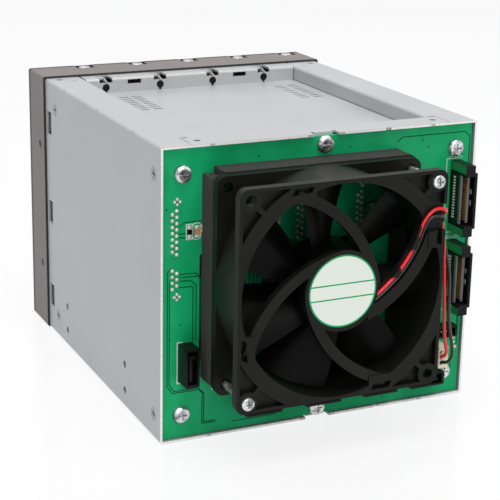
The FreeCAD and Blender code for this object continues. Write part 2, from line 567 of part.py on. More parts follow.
def bezel_frame():
    """Moulded shell: deep outer rim, inner frame with five bay openings, hinge lugs and snap clips."""
    outer = box(-BEZEL_HALF, FRONT, 0, BEZEL_HALF, BODY_FRONT, BEZEL_TOP)
    outer = round_edges(outer, BEZEL_CORNER, lambda c, a: along_y(a))
    half_cluster = BAY_COUNT * BAY_PITCH / 2 + DOOR_GAP / 2
    front_hollow = box(-half_cluster, FRONT - 1, DOOR_LOW - DOOR_GAP,
                       half_cluster, FRAME_STOP, DOOR_HIGH + DOOR_GAP)
    wall_x = BEZEL_HALF - BEZEL_WALL
    rear_hollow = box(-wall_x, FRAME_STOP + EDGE_SHELF, BEZEL_WALL,
                      wall_x, BODY_FRONT + 1, BEZEL_TOP - BEZEL_WALL)
    cuts = [front_hollow, rear_hollow]
    for x in BAYS:
        cuts.append(box(x - BAY_HALF_OPENING, FRONT, BAY_LOW,
                        x + BAY_HALF_OPENING, BODY_FRONT + 1, BAY_HIGH))
        nx = x + LATCH_OFFSET
        notch = box(nx - NOTCH_WIDTH / 2, FRONT - 1, DOOR_HIGH,
                    nx + NOTCH_WIDTH / 2, FRONT + NOTCH_DEPTH, BEZEL_TOP + 1)
        cuts.append(round_edges(notch, 0.8, lambda c, a: along_z(a)))
    for side in (-1, 1):
        for dz in (-30.5, 30.5):
            x0, x1 = sorted((side * (BEZEL_HALF - 0.6), side * (BEZEL_HALF + 1)))
            cuts.append(rod_x(x0, x1, FRONT + 17.0, MID_Z + dz - 0.8, 1.9))
            x0, x1 = sorted((side * (BEZEL_HALF - 4), side * (BEZEL_HALF + 1)))
            cuts.append(rod_x(x0, x1, FRONT + 17.0, MID_Z + dz - 0.8, 0.9))
    frame = carve(outer, cuts)
    lugs = []
    for x in BAYS:
        for side in (-1, 1):
            cx = x + side * (BAY_PITCH / 2)
            x0, x1 = cx - LUG_HALF, cx + LUG_HALF
            lugs += [box(x0, HINGE_Y - LUG_R, DOOR_LOW - DOOR_GAP - 0.5, x1, FRAME_STOP + 0.5, HINGE_Z),
                     box(x0, HINGE_Y, HINGE_Z - 1, x1, FRAME_STOP + 0.5, HINGE_Z + LUG_R),
                     rod_x(x0, x1, HINGE_Y, HINGE_Z, LUG_R)]
    clips = []
    for side in (-1, 1):
        for z in CLIP_HEIGHTS:
            clips.append(snap_clip(side, z))
    frame = union([frame] + lugs + clips)
    reach = BAY_COUNT * BAY_PITCH / 2 + 0.8
    return carve(frame, [rod_x(-reach, reach, HINGE_Y, HINGE_Z, HINGE_PIN_R)])


LUG_HALF = 1.3
LUG_R = 1.7
CLIP_SIDE_GAP = 1.4          # gap above and below a clip in its slot


def snap_clip(side, z):
    """Tongue that reaches inside the side panel, with a nose that fills the panel's slot."""
    inner = HALF - STEEL - FIT_GAP
    reach = BODY_FRONT + CLIP_SLOT_FRONT + CLIP_SLOT_WIDTH
    half = CLIP_SLOT / 2 - CLIP_SIDE_GAP
    x0, x1 = sorted((side * (inner - 1.8), side * inner))
    tongue = box(x0, FRAME_STOP + EDGE_SHELF - 1, z - half, x1, reach + 1.4, z + half)
    y0 = BODY_FRONT + CLIP_SLOT_FRONT + FIT_GAP
    tip = inner + FIT_GAP + STEEL * 0.35
    nose = prism([(side * (inner - 0.5), y0, z - half), (side * tip, y0, z - half),
                  (side * tip, y0 + 3.2, z - half), (side * (inner - 0.5), reach - FIT_GAP, z - half)],
                 (0, 0, 2 * half))
    return union([tongue, nose])


# ------------------------------------------------------------------ doors and latches
DOOR_VENT_ROWS = 15
DOOR_VENT_PITCH = 6.4
DOOR_VENT_HEIGHT = 2.4
DOOR_VENT_START = 16.0       # first row above the door's lower edge
DOOR_VENT_X = (-4.6, 9.6)
DRIVE_PAD_X = (-3.0, 7.0)
DRIVE_PAD_HALF = 5.0
DRIVE_PAD_INSET = 16.0
DRIVE_PAD_DEPTH = 1.6
GRIP_GROOVES = 6
GRIP_PITCH = 2.2
TONGUE_THICK = 0.9           # lip above the door that closes the front of the latch's notch
LATCH_SLOT_HALF = LATCH_R + 0.35
LATCH_LOW = DOOR_HIGH - 46.0
RAIL_HALF = 0.7
RAIL_DEPTH = 1.4


def door(x):
    """Flap hinged at its foot, with a vent field and a channel for its sliding latch."""
    half = DOOR_WIDTH / 2
    lx = x + LATCH_OFFSET
    barrel_half = half - LUG_HALF - DOOR_GAP
    panel = box(x - half, DOOR_FRONT, DOOR_LOW + 2 * HINGE_BARREL_R, x + half, DOOR_BACK, DOOR_HIGH)
    panel = round_edges(panel, 0.7, lambda c, a: c.y < DOOR_FRONT + 0.1)
    skirt = box(x - barrel_half, DOOR_FRONT, HINGE_Z,
                x + barrel_half, DOOR_BACK, DOOR_LOW + 2 * HINGE_BARREL_R + 2)
    barrel = rod_x(x - barrel_half, x + barrel_half, HINGE_Y, HINGE_Z, HINGE_BARREL_R)
    inner = lx + LATCH_SLOT_HALF
    back = LATCH_BACK + 0.2
    low = LATCH_LOW - LATCH_TRAVEL - 3.0
    guides = [box(inner, DOOR_BACK - 0.5, low, inner + 1.4, back + 0.9, DOOR_HIGH - 2),
              box(lx - LATCH_R + 0.3, back, low, inner + 1.4, back + 0.9, DOOR_HIGH - 2),
              box(lx - RAIL_HALF, back - RAIL_DEPTH, LATCH_LOW, lx + RAIL_HALF, back + 0.5, DOOR_HIGH - 2),
              box(lx - LATCH_R + 0.3, DOOR_BACK - 0.5, low, inner + 1.4, back + 0.9, low + 2.4)]
    tongue_half = NOTCH_WIDTH / 2 - FIT_GAP
    tongue = box(lx - tongue_half, DOOR_FRONT, DOOR_HIGH - 1, lx + tongue_half, DOOR_FRONT + TONGUE_THICK,
                 BEZEL_TOP - 0.1)
    pads = [box(x + DRIVE_PAD_X[0], DOOR_BACK - 0.5, z - DRIVE_PAD_HALF,
                x + DRIVE_PAD_X[1], DOOR_BACK + DRIVE_PAD_DEPTH, z + DRIVE_PAD_HALF)
            for z in (BAY_LOW + DRIVE_PAD_INSET, BAY_HIGH - DRIVE_PAD_INSET)]
    cuts = [rod_x(x - half - 1, x + half + 1, HINGE_Y, HINGE_Z, HINGE_PIN_R + RUN_GAP)]
    cuts.append(box(lx - LATCH_SLOT_HALF, DOOR_FRONT - 1, LATCH_LOW - LATCH_TRAVEL - FIT_GAP,
                    lx + LATCH_SLOT_HALF, DOOR_BACK + 4, DOOR_HIGH + 1))
    for row in range(DOOR_VENT_ROWS):
        z = DOOR_LOW + DOOR_VENT_START + row * DOOR_VENT_PITCH
        cuts.append(box(x + DOOR_VENT_X[0], DOOR_FRONT - 1, z,
                        x + DOOR_VENT_X[1], DOOR_BACK + 3, z + DOOR_VENT_HEIGHT))
    return union([carve(union([panel, skirt, barrel] + pads), cuts), tongue] + guides)


def door_latch(x):
    """Sprung bar that slides in its door; its round head sits in the bezel's top notch."""
    lx = x + LATCH_OFFSET
    low = LATCH_LOW
    high = BEZEL_TOP - RUN_GAP
    bar = rod_z(lx, LATCH_Y, LATCH_R, low, high)
    rim = [e for e in bar.Edges if isinstance(e.Curve, Part.Circle)]
    bar = bar.makeFillet(0.6, rim)
    front = LATCH_Y - LATCH_R
    cuts = []
    for i in range(GRIP_GROOVES):
        z = low + 4 + GRIP_PITCH * i
        cuts.append(box(lx - 4, front - 1, z, lx + 4, front + 0.6, z + 1))
    cuts.append(box(lx - RAIL_HALF - RUN_GAP, LATCH_BACK - RAIL_DEPTH, low - 1,
                    lx + RAIL_HALF + RUN_GAP, LATCH_BACK + 1, DOOR_HIGH - 1 + LATCH_TRAVEL))
    return carve(bar, cuts)


# ------------------------------------------------------------------ fan
FLANGE_REAR = FAN_REAR - FAN_FLANGE
PLATE_R = 16.9
PLATE_THICK = 2.6
PLATE_REAR = FAN_REAR - 0.4
ARM_R = 50.0
ARM_WIDTH = 4.4
ARM_DEPTH = 3.2
ARM_START = 12.0             # degrees, first arm's root round the hub
CHANNEL_WALL = 1.1           # thin wall on the hollow side of the arm that carries the leads
CHANNEL_WIDTH = 3.7
ARM_ROOT_BLOCK = (-24.0, -13.5, 38.2)   # filled corner where an arm meets the flange
RIM_WALL = 1.4
POCKET_DEPTH = 2.6
POCKET_R = 50.7
HUB_FRONT = FAN_FRONT + 2.0
HUB_REAR = PLATE_REAR - PLATE_THICK - 0.9
CUP_WALL = 1.3


def fan_point(radius, degrees, y):
    """A point round the fan's axis, with the angle measured as seen from behind the fan."""
    a = math.radians(degrees)
    return Vector(FAN_X - radius * math.cos(a), y, FAN_Z + radius * math.sin(a))


def rounded_square(half, radius, y0, y1):
    block = box(FAN_X - half, y0, FAN_Z - half, FAN_X + half, y1, FAN_Z + half)
    return round_edges(block, radius, lambda c, a: along_y(a))


def arm_point(root_degrees, radius, degrees, y):
    """A point at the given radius and angle from the centre of an arm's own arc."""
    centre = fan_point(-(ARM_R - PLATE_R + ARM_WIDTH / 2), root_degrees, y)
    a = math.radians(root_degrees + degrees)
    return Vector(centre.x - radius * math.cos(a), y, centre.z + radius * math.sin(a))


def arm_sweep():
    """Angle of arm from the hub to the bore's edge."""
    offset = ARM_R - PLATE_R + ARM_WIDTH / 2
    reach_cos = (offset ** 2 + ARM_R ** 2 - (FAN_BORE_R + 0.6) ** 2) / (2 * offset * ARM_R)
    return math.degrees(math.acos(reach_cos))


def fan_arm(root_degrees, inner, outer, y0, y1, start=0.0, end=None):
    """Curved strut between two radii: leaves the hub plate tangentially and ends in the frame."""
    last = arm_sweep() + 1.5 if end is None else end
    middle = (start + last) / 2

    def at(radius, degrees):
        return arm_point(root_degrees, radius, degrees, y0)

    edges = [Part.Arc(at(outer, start), at(outer, middle), at(outer, last)).toShape(),
             Part.makeLine(at(outer, last), at(inner, last)),
             Part.Arc(at(inner, last), at(inner, middle), at(inner, start)).toShape(),
             Part.makeLine(at(inner, start), at(outer, start))]
    return Part.Face(Part.Wire(edges)).extrude(Vector(0, y1 - y0, 0))


def quarter_turns(shape):
    """The shape and its three copies, a quarter turn apart round the fan's axis."""
    turned = []
    for i in range(4):
        copy = shape.copy()
        copy.rotate(Vector(FAN_X, 0, FAN_Z), Vector(0, 1, 0), 90 * i)
        turned.append(copy)
    return turned


def corner_pockets():
    """Triangular pockets sunk in the outlet flange, one each side of every screw boss."""
    half = FAN_SIZE / 2
    y0 = FAN_REAR - POCKET_DEPTH
    field = rounded_square(half - RIM_WALL, FAN_CORNER_R - RIM_WALL, y0, FAN_REAR + 1)
    keep = [rod_y(FAN_X, FAN_Z, POCKET_R, y0 - 1, FAN_REAR + 2)]
    for sx in (-1, 1):
        for sz in (-1, 1):
            x = FAN_X + sx * FAN_HOLE / 2
            z = FAN_Z + sz * FAN_HOLE / 2
            keep.append(rod_y(x, z, 4.5, y0 - 1, FAN_REAR + 2))
            web = prism([(x, y0 - 1, z - 1.5), (x, y0 - 1, z + 1.5), (FAN_X, y0 - 1, FAN_Z + 1.5),
                         (FAN_X, y0 - 1, FAN_Z - 1.5)], (0, POCKET_DEPTH + 3, 0))
            keep.append(web)
    slant = prism([(FAN_X + 24.2, y0, FAN_Z + 41.4), (FAN_X + 22.8, y0, FAN_Z + 44.3),
                   (FAN_X + 14.6, y0, FAN_Z + 44.5), (FAN_X + 15.2, y0, FAN_Z + 42.2)],
                  (0, POCKET_DEPTH + 1, 0))
    return union([field.cut(keep)] + quarter_turns(slant))


def fan_frame():
    half = FAN_SIZE / 2
    flanges = [rounded_square(half, FAN_CORNER_R, FAN_FRONT, FAN_FRONT + FAN_FLANGE),
               rounded_square(half, FAN_CORNER_R, FLANGE_REAR, FAN_REAR)]
    tube = rod_y(FAN_X, FAN_Z, FAN_BORE_R + 1.9, FAN_FRONT, FAN_REAR)
    tube = tube.common(box(FAN_X - half, FAN_FRONT, FAN_Z - half, FAN_X + half, FAN_REAR, FAN_Z + half))
    shell = union(flanges + [tube])
    bore = rod_y(FAN_X, FAN_Z, FAN_BORE_R, FAN_FRONT - 1, FAN_REAR + 1)
    holes = []
    for sx in (-1, 1):
        for sz in (-1, 1):
            holes.append(rod_y(FAN_X + sx * FAN_HOLE / 2, FAN_Z + sz * FAN_HOLE / 2, FAN_HOLE_R,
                               FAN_FRONT - 1, FAN_REAR + 1))
    shell = carve(shell, [bore])
    root_x0, root_x1, root_z = ARM_ROOT_BLOCK
    block = box(FAN_X - root_x1, FAN_REAR - FAN_FLANGE, FAN_Z + root_z,
                FAN_X - root_x0, FAN_REAR, FAN_Z + half - 0.5)
    shell = carve(union([shell] + quarter_turns(block)), [corner_pockets()] + holes)
    plate = rod_y(FAN_X, FAN_Z, PLATE_R, PLATE_REAR - PLATE_THICK, PLATE_REAR)
    label_seat = rod_y(FAN_X, FAN_Z, LABEL_R + 0.15, PLATE_REAR - 0.4, PLATE_REAR + 1)
    sleeve_seat = rod_y(FAN_X, FAN_Z, BEARING_R + RUN_GAP, PLATE_REAR - PLATE_THICK - 1, PLATE_REAR - 0.8)
    y0 = PLATE_REAR - ARM_DEPTH
    arms = [fan_arm(ARM_START + 90 * i, ARM_R - ARM_WIDTH / 2, ARM_R + ARM_WIDTH / 2, y0, PLATE_REAR)
            for i in range(3)]
    inner = ARM_R - ARM_WIDTH / 2 - CHANNEL_WIDTH - CHANNEL_WALL
    arms.append(fan_arm(CHANNEL_ROOT, inner, ARM_R + ARM_WIDTH / 2, y0, PLATE_REAR, 10.0))
    frame = carve(union([shell, plate] + arms), [label_seat, sleeve_seat, wire_channel()])
    return union([frame] + channel_clips())


BEARING_R = 3.6


CHANNEL_ROOT = ARM_START + 270
CHANNEL_FLOOR = PLATE_REAR - 2.0
CHANNEL_INNER = ARM_R - ARM_WIDTH / 2 - CHANNEL_WIDTH
GATE_Z = (20.6, 31.6)        # opening in the flange's edge where the leads come out


def wire_channel():
    """Groove for the two leads beside the last arm, out through the frame's edge."""
    groove = fan_arm(CHANNEL_ROOT, CHANNEL_INNER, CHANNEL_INNER + CHANNEL_WIDTH - 0.6, CHANNEL_FLOOR,
                     FAN_REAR + 1, 10.0, 66.0)
    half = FAN_SIZE / 2
    gate = box(FAN_X - half - 1, CHANNEL_FLOOR, FAN_Z + GATE_Z[0], FAN_X - half + 11.0, FAN_REAR + 1,
               FAN_Z + GATE_Z[1])
    outside = rod_y(FAN_X, FAN_Z, PLATE_R - 0.8, PLATE_REAR - 3, FAN_REAR + 2)
    breaks = [fan_arm(CHANNEL_ROOT, CHANNEL_INNER - 3, CHANNEL_INNER + 0.1,
                      CHANNEL_FLOOR, FAN_REAR + 1, a, b)
              for a, b in ((16.0, 31.5), (38.0, 49.0))]
    return union([groove.cut(outside), gate] + [piece.cut(outside) for piece in breaks])


def channel_clips():
    """Small hooked lips that keep the leads down in their groove."""
    lip_y = FAN_REAR - 0.55
    foot = CHANNEL_INNER - CHANNEL_WALL
    clips = []
    for a, b in ((32.5, 37.0), (50.0, 57.0)):
        lip = fan_arm(CHANNEL_ROOT, foot, CHANNEL_INNER + 1.1, lip_y, FAN_REAR, a, b)
        wall = fan_arm(CHANNEL_ROOT, foot, CHANNEL_INNER, PLATE_REAR - 1, FAN_REAR, a, b)
        clips.append(lip.fuse(wall))
    return clips


def blade_section(radius, pitch, chord, thick, lean):
    """Closed cambered section across the blade at one radius, at 12 o'clock on the fan."""
    c = math.cos(math.radians(pitch))
    s = math.sin(math.radians(pitch))
    y_mid = (HUB_FRONT + HUB_REAR) / 2

    def at(u, v):
        across = u * c - v * s + lean
        depth = u * s + v * c
        return Vector(FAN_X + across, y_mid + depth, FAN_Z + radius)

    camber = chord * 0.09
    nose = at(-chord / 2, -camber * 0.6)
    tail = at(chord / 2, -camber * 0.6)
    upper = Part.Arc(nose, at(0, camber * 0.4 + thick / 2), tail).toShape()
    lower = Part.Arc(tail, at(0, camber * 0.4 - thick / 2), nose).toShape()
    return Part.Wire([upper, lower])


def fan_rotor():
    """Cup-shaped hub with pitched, twisted blades lofted through three sections."""
    cup = rod_y(FAN_X, FAN_Z, HUB_R, HUB_FRONT, HUB_REAR)
    rim = [e for e in cup.Edges if isinstance(e.Curve, Part.Circle) and e.CenterOfMass.y < HUB_FRONT + 1]
    cup = cup.makeFillet(1.5, rim)
    blade = Part.makeLoft([blade_section(HUB_R - 0.9, 42, 19.4, 1.9, 0.0),
                           blade_section((HUB_R + BLADE_TIP_R) / 2, 33, 26.2, 1.7, -2.6),
                           blade_section(BLADE_TIP_R - 0.4, 27, 32.4, 1.5, -6.0)], True)
    tip = rod_y(FAN_X, FAN_Z, BLADE_TIP_R, FAN_FRONT - 5, FAN_REAR + 5)
    blade = blade.common(tip)
    blades = []
    for i in range(BLADE_COUNT):
        turned = blade.copy()
        turned.rotate(Vector(FAN_X, 0, FAN_Z), Vector(0, 1, 0), 360.0 / BLADE_COUNT * i + BLADE_TURN)
        blades.append(turned)
    rotor = union([cup] + blades)
    hollow = rod_y(FAN_X, FAN_Z, HUB_R - CUP_WALL, HUB_FRONT + 1.6, HUB_REAR + 1)
    shaft_hole = rod_y(FAN_X, FAN_Z, SHAFT_R - 0.01, HUB_FRONT - 1, HUB_FRONT + 6)
    boss = rod_y(FAN_X, FAN_Z, 3.2, HUB_FRONT + 1.2, HUB_FRONT + 4.2)
    return carve(union([carve(rotor, [hollow]), boss]), [shaft_hole])


MAGNET_R = HUB_R - CUP_WALL
MAGNET_WALL = 1.8
STATOR_R = MAGNET_R - MAGNET_WALL - 0.5
CIRCUIT_REAR = PLATE_REAR - PLATE_THICK


def motor_magnet():
    ring = rod_y(FAN_X, FAN_Z, MAGNET_R, HUB_FRONT + 2.2, HUB_REAR - 1.2)
    return ring.cut(rod_y(FAN_X, FAN_Z, MAGNET_R - MAGNET_WALL, HUB_FRONT, HUB_REAR))


def rotor_shaft():
    return rod_y(FAN_X, FAN_Z, SHAFT_R, HUB_FRONT + 0.3, CIRCUIT_REAR + 0.8)


def bearing_sleeve():
    sleeve = rod_y(FAN_X, FAN_Z, BEARING_R, HUB_FRONT + 4.8, PLATE_REAR - 0.8)
    return sleeve.cut(rod_y(FAN_X, FAN_Z, SHAFT_R + RUN_GAP, HUB_FRONT, CIRCUIT_REAR + 1.2))


def motor_stator():
    """Four-pole stator: salient poles with wide shoes round the bearing sleeve."""
    y0 = HUB_FRONT + 5.6
    y1 = CIRCUIT_REAR - 3.2
    core = rod_y(FAN_X, FAN_Z, 6.4, y0, y1)
    shoes = rod_y(FAN_X, FAN_Z, STATOR_R, y0, y1).cut(rod_y(FAN_X, FAN_Z, STATOR_R - 1.8, y0 - 1, y1 + 1))
    gaps = [box(FAN_X - STATOR_R - 1, y0 - 1, FAN_Z - 1.3, FAN_X + STATOR_R + 1, y1 + 1, FAN_Z + 1.3),
            box(FAN_X - 1.3, y0 - 1, FAN_Z - STATOR_R - 1, FAN_X + 1.3, y1 + 1, FAN_Z + STATOR_R + 1)]
    for gap in gaps:
        gap.rotate(Vector(FAN_X, 0, FAN_Z), Vector(0, 1, 0), 45)
    poles = []
    for i in range(4):
        pole = box(FAN_X - 2.6, y0, FAN_Z + 4, FAN_X + 2.6, y1, FAN_Z + STATOR_R - 1.0)
        pole.rotate(Vector(FAN_X, 0, FAN_Z), Vector(0, 1, 0), 90 * i)
        poles.append(pole)
    stator = union([core, shoes.cut(gaps)] + poles)
    return stator.cut(rod_y(FAN_X, FAN_Z, BEARING_R, y0 - 1, y1 + 1))


def fan_circuit_board():
    disc = rod_y(FAN_X, FAN_Z, STATOR_R - 0.6, CIRCUIT_REAR - 3.2, CIRCUIT_REAR - 2.2)
    return disc.cut(rod_y(FAN_X, FAN_Z, BEARING_R + 0.1, CIRCUIT_REAR - 4, CIRCUIT_REAR))


def fan_label():
    return rod_y(FAN_X, FAN_Z, LABEL_R, PLATE_REAR - 0.4, PLATE_REAR - 0.2)


FAN_SCREW_END = BOARD_FRONT - 4.0


def fan_screw(sx, sz):
    x = FAN_X + sx * FAN_HOLE / 2
    z = FAN_Z + sz * FAN_HOLE / 2
    head = rod_y(x, z, FAN_SCREW_HEAD_R, FAN_REAR, FAN_REAR + FAN_SCREW_HEAD)
    edge = [e for e in head.Edges if isinstance(e.Curve, Part.Circle) and e.CenterOfMass.y > FAN_REAR + 1]
    head = head.makeFillet(0.7, edge)
    top = FAN_REAR + FAN_SCREW_HEAD
    recess = [box(x - 1.5, top - 0.8, z - 0.3, x + 1.5, top + 1, z + 0.3),
              box(x - 0.3, top - 0.8, z - 1.5, x + 0.3, top + 1, z + 1.5)]
    shank = rod_y(x, z, FAN_SCREW_R, FAN_SCREW_END, FAN_REAR)
    return union([carve(head, recess), shank])


def fan_nut(sx, sz):
    """Hex nut on the drive side of the board."""
    x = FAN_X + sx * FAN_HOLE / 2
    z = FAN_Z + sz * FAN_HOLE / 2
    across = 3.2
    points = [(x + across * math.cos(math.radians(60 * i)), BOARD_FRONT - 2.4,
               z + across * math.sin(math.radians(60 * i))) for i in range(6)]
    nut = prism(points, (0, 2.4, 0))
    return nut.cut(rod_y(x, z, FAN_SCREW_R + 0.01, BOARD_FRONT - 3, BOARD_FRONT + 1))


def foam_strips():
    """Four die-cut strips between the board and the fan's inner flange, one along each edge."""
    outer = FAN_SIZE / 2
    inner = outer - FOAM_WIDTH
    raised = outer + 0.7
    y0 = BOARD_REAR
    deep = (0, FAN_FRONT - y0, 0)

    def strip(x0, z0, x1, z1, cropped=0.0):
        corners = [(x0, z0), (x1, z0), (x1, z1), (x0 + cropped, z1)]
        if cropped:
            corners.append((x0, z1 - cropped * 0.6))
        return prism([(FAN_X + x, y0, FAN_Z + z) for x, z in corners], deep)

    strips = {"foam_gasket_top": strip(-outer + 0.1, raised - FOAM_WIDTH, inner - 0.1, raised, 2.5),
              "foam_gasket_left": strip(inner, -outer + 2.8, outer, outer - 2.1),
              "foam_gasket_bottom": strip(-outer + 0.1, -outer, inner - 0.1, -inner),
              "foam_gasket_right": strip(-outer, -inner + 0.1, -inner, raised - FOAM_WIDTH - 0.1)}
    screws = [rod_y(FAN_X + sx * FAN_HOLE / 2, FAN_Z + sz * FAN_HOLE / 2, FAN_SCREW_R + 0.1,
                    BOARD_REAR - 1, FAN_FRONT + 1) for sx, sz in FAN_SCREWS]
    return {name: shape.cut(screws) for name, shape in strips.items()}


# ------------------------------------------------------------------ fan leads
WIRE_R = 0.75
PLUG_FACE = BOARD_REAR + PLUG_DEPTH + 1.4 - 2.0
LEAD_SIDE = CHANNEL_INNER + WIRE_R + 0.05    # radius of the red lead round the arm's centre


def lead_start(side, gate_z, outside):
    """The stretch every lead shares: from the hub, along the channel and over the frame's edge."""
    depth = CHANNEL_FLOOR + WIRE_R + 0.05
    radius = LEAD_SIDE + side
    first = 19.4 - 1.4 * side
    points = [arm_point(CHANNEL_ROOT, radius, a, depth) for a in (first, 27.0, 40.0, 53.0, 66.0)]
    edge_x = FAN_X - FAN_SIZE / 2
    points.append(Vector(edge_x + 4.6, depth + 0.3, FAN_Z + gate_z))
    points.append(Vector(edge_x - 1.9 - outside, depth - 0.4, FAN_Z + gate_z - 1.4))
    return points


def routed(start, rest):
    """Adds the free stretch, given beside the plug and behind the body's rear edge."""
    return start + [Vector(PLUG_MID + x, BODY_REAR + y, z) for x, y, z in rest]


RED_ROUTE = routed(lead_start(0.0, 30.0, 0.0),
                   [(15.2, 27.3, 94.0), (13.2, 26.6, 84.0), (11.2, 25.2, 71.0), (9.0, 23.2, 58.0),
                    (6.4, 20.0, 46.0), (3.6, 17.2, 34.5), (1.0, 15.6, 28.2), (0.2, 12.9, 24.6),
                    (0.0, 9.6, 23.0)])
BLACK_ROUTE = routed(lead_start(1.7, 26.8, 0.4),
                     [(13.6, 31.0, 90.0), (11.0, 28.0, 80.0), (8.6, 25.6, 68.0), (6.0, 22.2, 54.0),
                      (2.3, 18.2, 40.0), (-1.1, 16.6, 30.0), (-1.7, 15.6, 24.4), (-0.4, 13.0, 21.4),
                      (0.0, 9.6, 20.5)])


def lead_tube(name, route):
    """Plain tube along straight runs joined by the largest tangent arcs they allow."""
    points = list(route)
    points[-1] = Vector(PLUG_MID, PLUG_FACE, points[-1].z)
    edges = []
    start = points[0]
    for i in range(1, len(points) - 1):
        back = points[i - 1] - points[i]
        ahead = points[i + 1] - points[i]
        trim = 0.45 * min(back.Length, ahead.Length)
        back.normalize()
        ahead.normalize()
        turn = math.pi - back.getAngle(ahead)
        radius = trim / math.tan(turn / 2)
        print(name, "point", i, "turn %.0f deg radius %.1f" % (math.degrees(turn), radius))
        first = points[i] + back * trim
        last = points[i] + ahead * trim
        bisector = (back + ahead).normalize()
        centre = points[i] + bisector * (radius / math.cos(turn / 2))
        middle = centre - bisector * radius
        edges.append(Part.makeLine(start, first))
        edges.append(Part.Arc(first, middle, last).toShape())
        start = last
    edges.append(Part.makeLine(start, points[-1]))
    path = Part.Wire(edges)
    heading = (points[1] - points[0]).normalize()
    ring = Part.Wire([Part.makeCircle(WIRE_R, points[0], heading)])
    tube = path.makePipeShell([ring], True, False)
    expected = math.pi * WIRE_R ** 2 * path.Length
    print(name, "length %.1f" % path.Length,
          "volume %.1f expected %.1f" % (tube.Volume, expected), "valid", tube.isValid())
    return tube


# ------------------------------------------------------------------ assembly
panel = side_panel()
save("side_panel_right", panel)
save("side_panel_left", mirror_x(panel))
pan = pan_panel()
save("top_panel", carve(pan, vents()))
save("bottom_panel", mirror_z(carve(pan, vents())))
for number, x in enumerate(DIVIDERS, 1):
    save("bay_divider_%d" % number, bay_divider(x))
save("drive_glides_upper", drive_glides(True))
save("drive_glides_lower", drive_glides(False))
save("backplane_board", backplane_board())
save("drive_connectors", Part.makeCompound([drive_connector(x + SOCKET_OFFSET) for x in BAYS]))
save("data_connector_upright", data_connector(UPRIGHT_DATA[0], UPRIGHT_DATA[1], False))
save("data_connectors_lower",
     Part.makeCompound([data_connector(x, LOWER_DATA_Z, True) for x in LOWER_DATA_X]))
save("power_connector_upper", power_connector(POWER_TOPS[0]))
save("power_connector_lower", power_connector(POWER_TOPS[1]))
save("service_header", service_header())
save("fan_header", fan_header())
save("fan_plug", fan_plug())
save("board_screws", Part.makeCompound([pan_head_screw(x, z) for x, z in BOARD_SCREWS]))
right_screws = [countersunk_screw(y, z) for y in SCREW_Y for z in SCREW_Z]
save("side_screws", Part.makeCompound(right_screws + [mirror_x(s) for s in right_screws]))
save("bezel_frame", bezel_frame())
for number, x in enumerate(BAYS, 1):
    save("door_%d" % number, door(x))
    save("door_latch_%d" % number, door_latch(x))
PIN_HALF = BAY_PITCH / 2 - 0.2
save("hinge_pins",
     Part.makeCompound([rod_x(x - PIN_HALF, x + PIN_HALF, HINGE_Y, HINGE_Z, HINGE_PIN_R) for x in BAYS]))
save("fan_frame", fan_frame())
save("fan_rotor", fan_rotor())
save("motor_magnet", motor_magnet())
save("rotor_shaft", rotor_shaft())
save("bearing_sleeve", bearing_sleeve())
save("motor_stator", motor_stator())
save("fan_circuit_board", fan_circuit_board())
save("fan_label", fan_label())
save("fan_screws", Part.makeCompound([fan_screw(sx, sz) for sx, sz in FAN_SCREWS]))
save("fan_nuts", Part.makeCompound([fan_nut(sx, sz) for sx, sz in FAN_SCREWS]))
for node, shape in foam_strips().items():
    save(node, shape)
save("fan_lead_red", lead_tube("red", RED_ROUTE))
save("fan_lead_black", lead_tube("black", BLACK_ROUTE))

whole = Part.makeCompound(list(made.values())).BoundBox
print("nodes", len(made), "box", [round(v, 2) for v in
      (whole.XMin, whole.XMax, whole.YMin, whole.YMax, whole.ZMin, whole.ZMax)])
for node, shape in made.items():
    if not shape.isValid():
        print("not valid:", node)
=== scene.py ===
import bpy
import bmesh
import json
import math
from mathutils import Matrix, Vector
from mathutils import noise as wander


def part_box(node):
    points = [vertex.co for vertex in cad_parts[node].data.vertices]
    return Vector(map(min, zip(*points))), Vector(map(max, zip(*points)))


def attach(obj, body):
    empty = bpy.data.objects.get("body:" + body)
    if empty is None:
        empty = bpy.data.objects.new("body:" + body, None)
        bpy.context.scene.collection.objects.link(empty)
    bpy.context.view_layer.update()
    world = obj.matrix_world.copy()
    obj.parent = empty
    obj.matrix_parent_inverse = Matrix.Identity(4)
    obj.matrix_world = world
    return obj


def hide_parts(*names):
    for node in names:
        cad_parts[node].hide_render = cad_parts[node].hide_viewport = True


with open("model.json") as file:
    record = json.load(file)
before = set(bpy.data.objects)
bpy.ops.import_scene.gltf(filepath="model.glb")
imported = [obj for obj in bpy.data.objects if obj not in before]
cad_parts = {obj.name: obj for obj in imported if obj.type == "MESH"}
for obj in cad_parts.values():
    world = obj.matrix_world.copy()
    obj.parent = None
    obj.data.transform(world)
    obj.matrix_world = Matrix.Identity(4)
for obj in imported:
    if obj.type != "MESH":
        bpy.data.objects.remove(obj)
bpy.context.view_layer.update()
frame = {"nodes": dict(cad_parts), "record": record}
NODES = frame["nodes"]
MM = 0.001

# ------------------------------------------------------------------ colour and nodes


def linear(text):
    """sRGB hex to the linear colour that shaders take."""
    out = []
    for k in (1, 3, 5):
        c = int(text[k:k + 2], 16) / 255
        out.append(c / 12.92 if c <= 0.04045 else ((c + 0.055) / 1.055) ** 2.4)
    return out + [1.0]


def add(tree, kind, links=None, **settings):
    """One shader node: settings go to its properties, links to its input sockets."""
    node = tree.nodes.new(kind)
    for key, value in settings.items():
        setattr(node, key, value)
    for socket, value in (links or {}).items():
        if isinstance(value, bpy.types.NodeSocket):
            tree.links.new(value, node.inputs[socket])
        else:
            node.inputs[socket].default_value = value
    return node


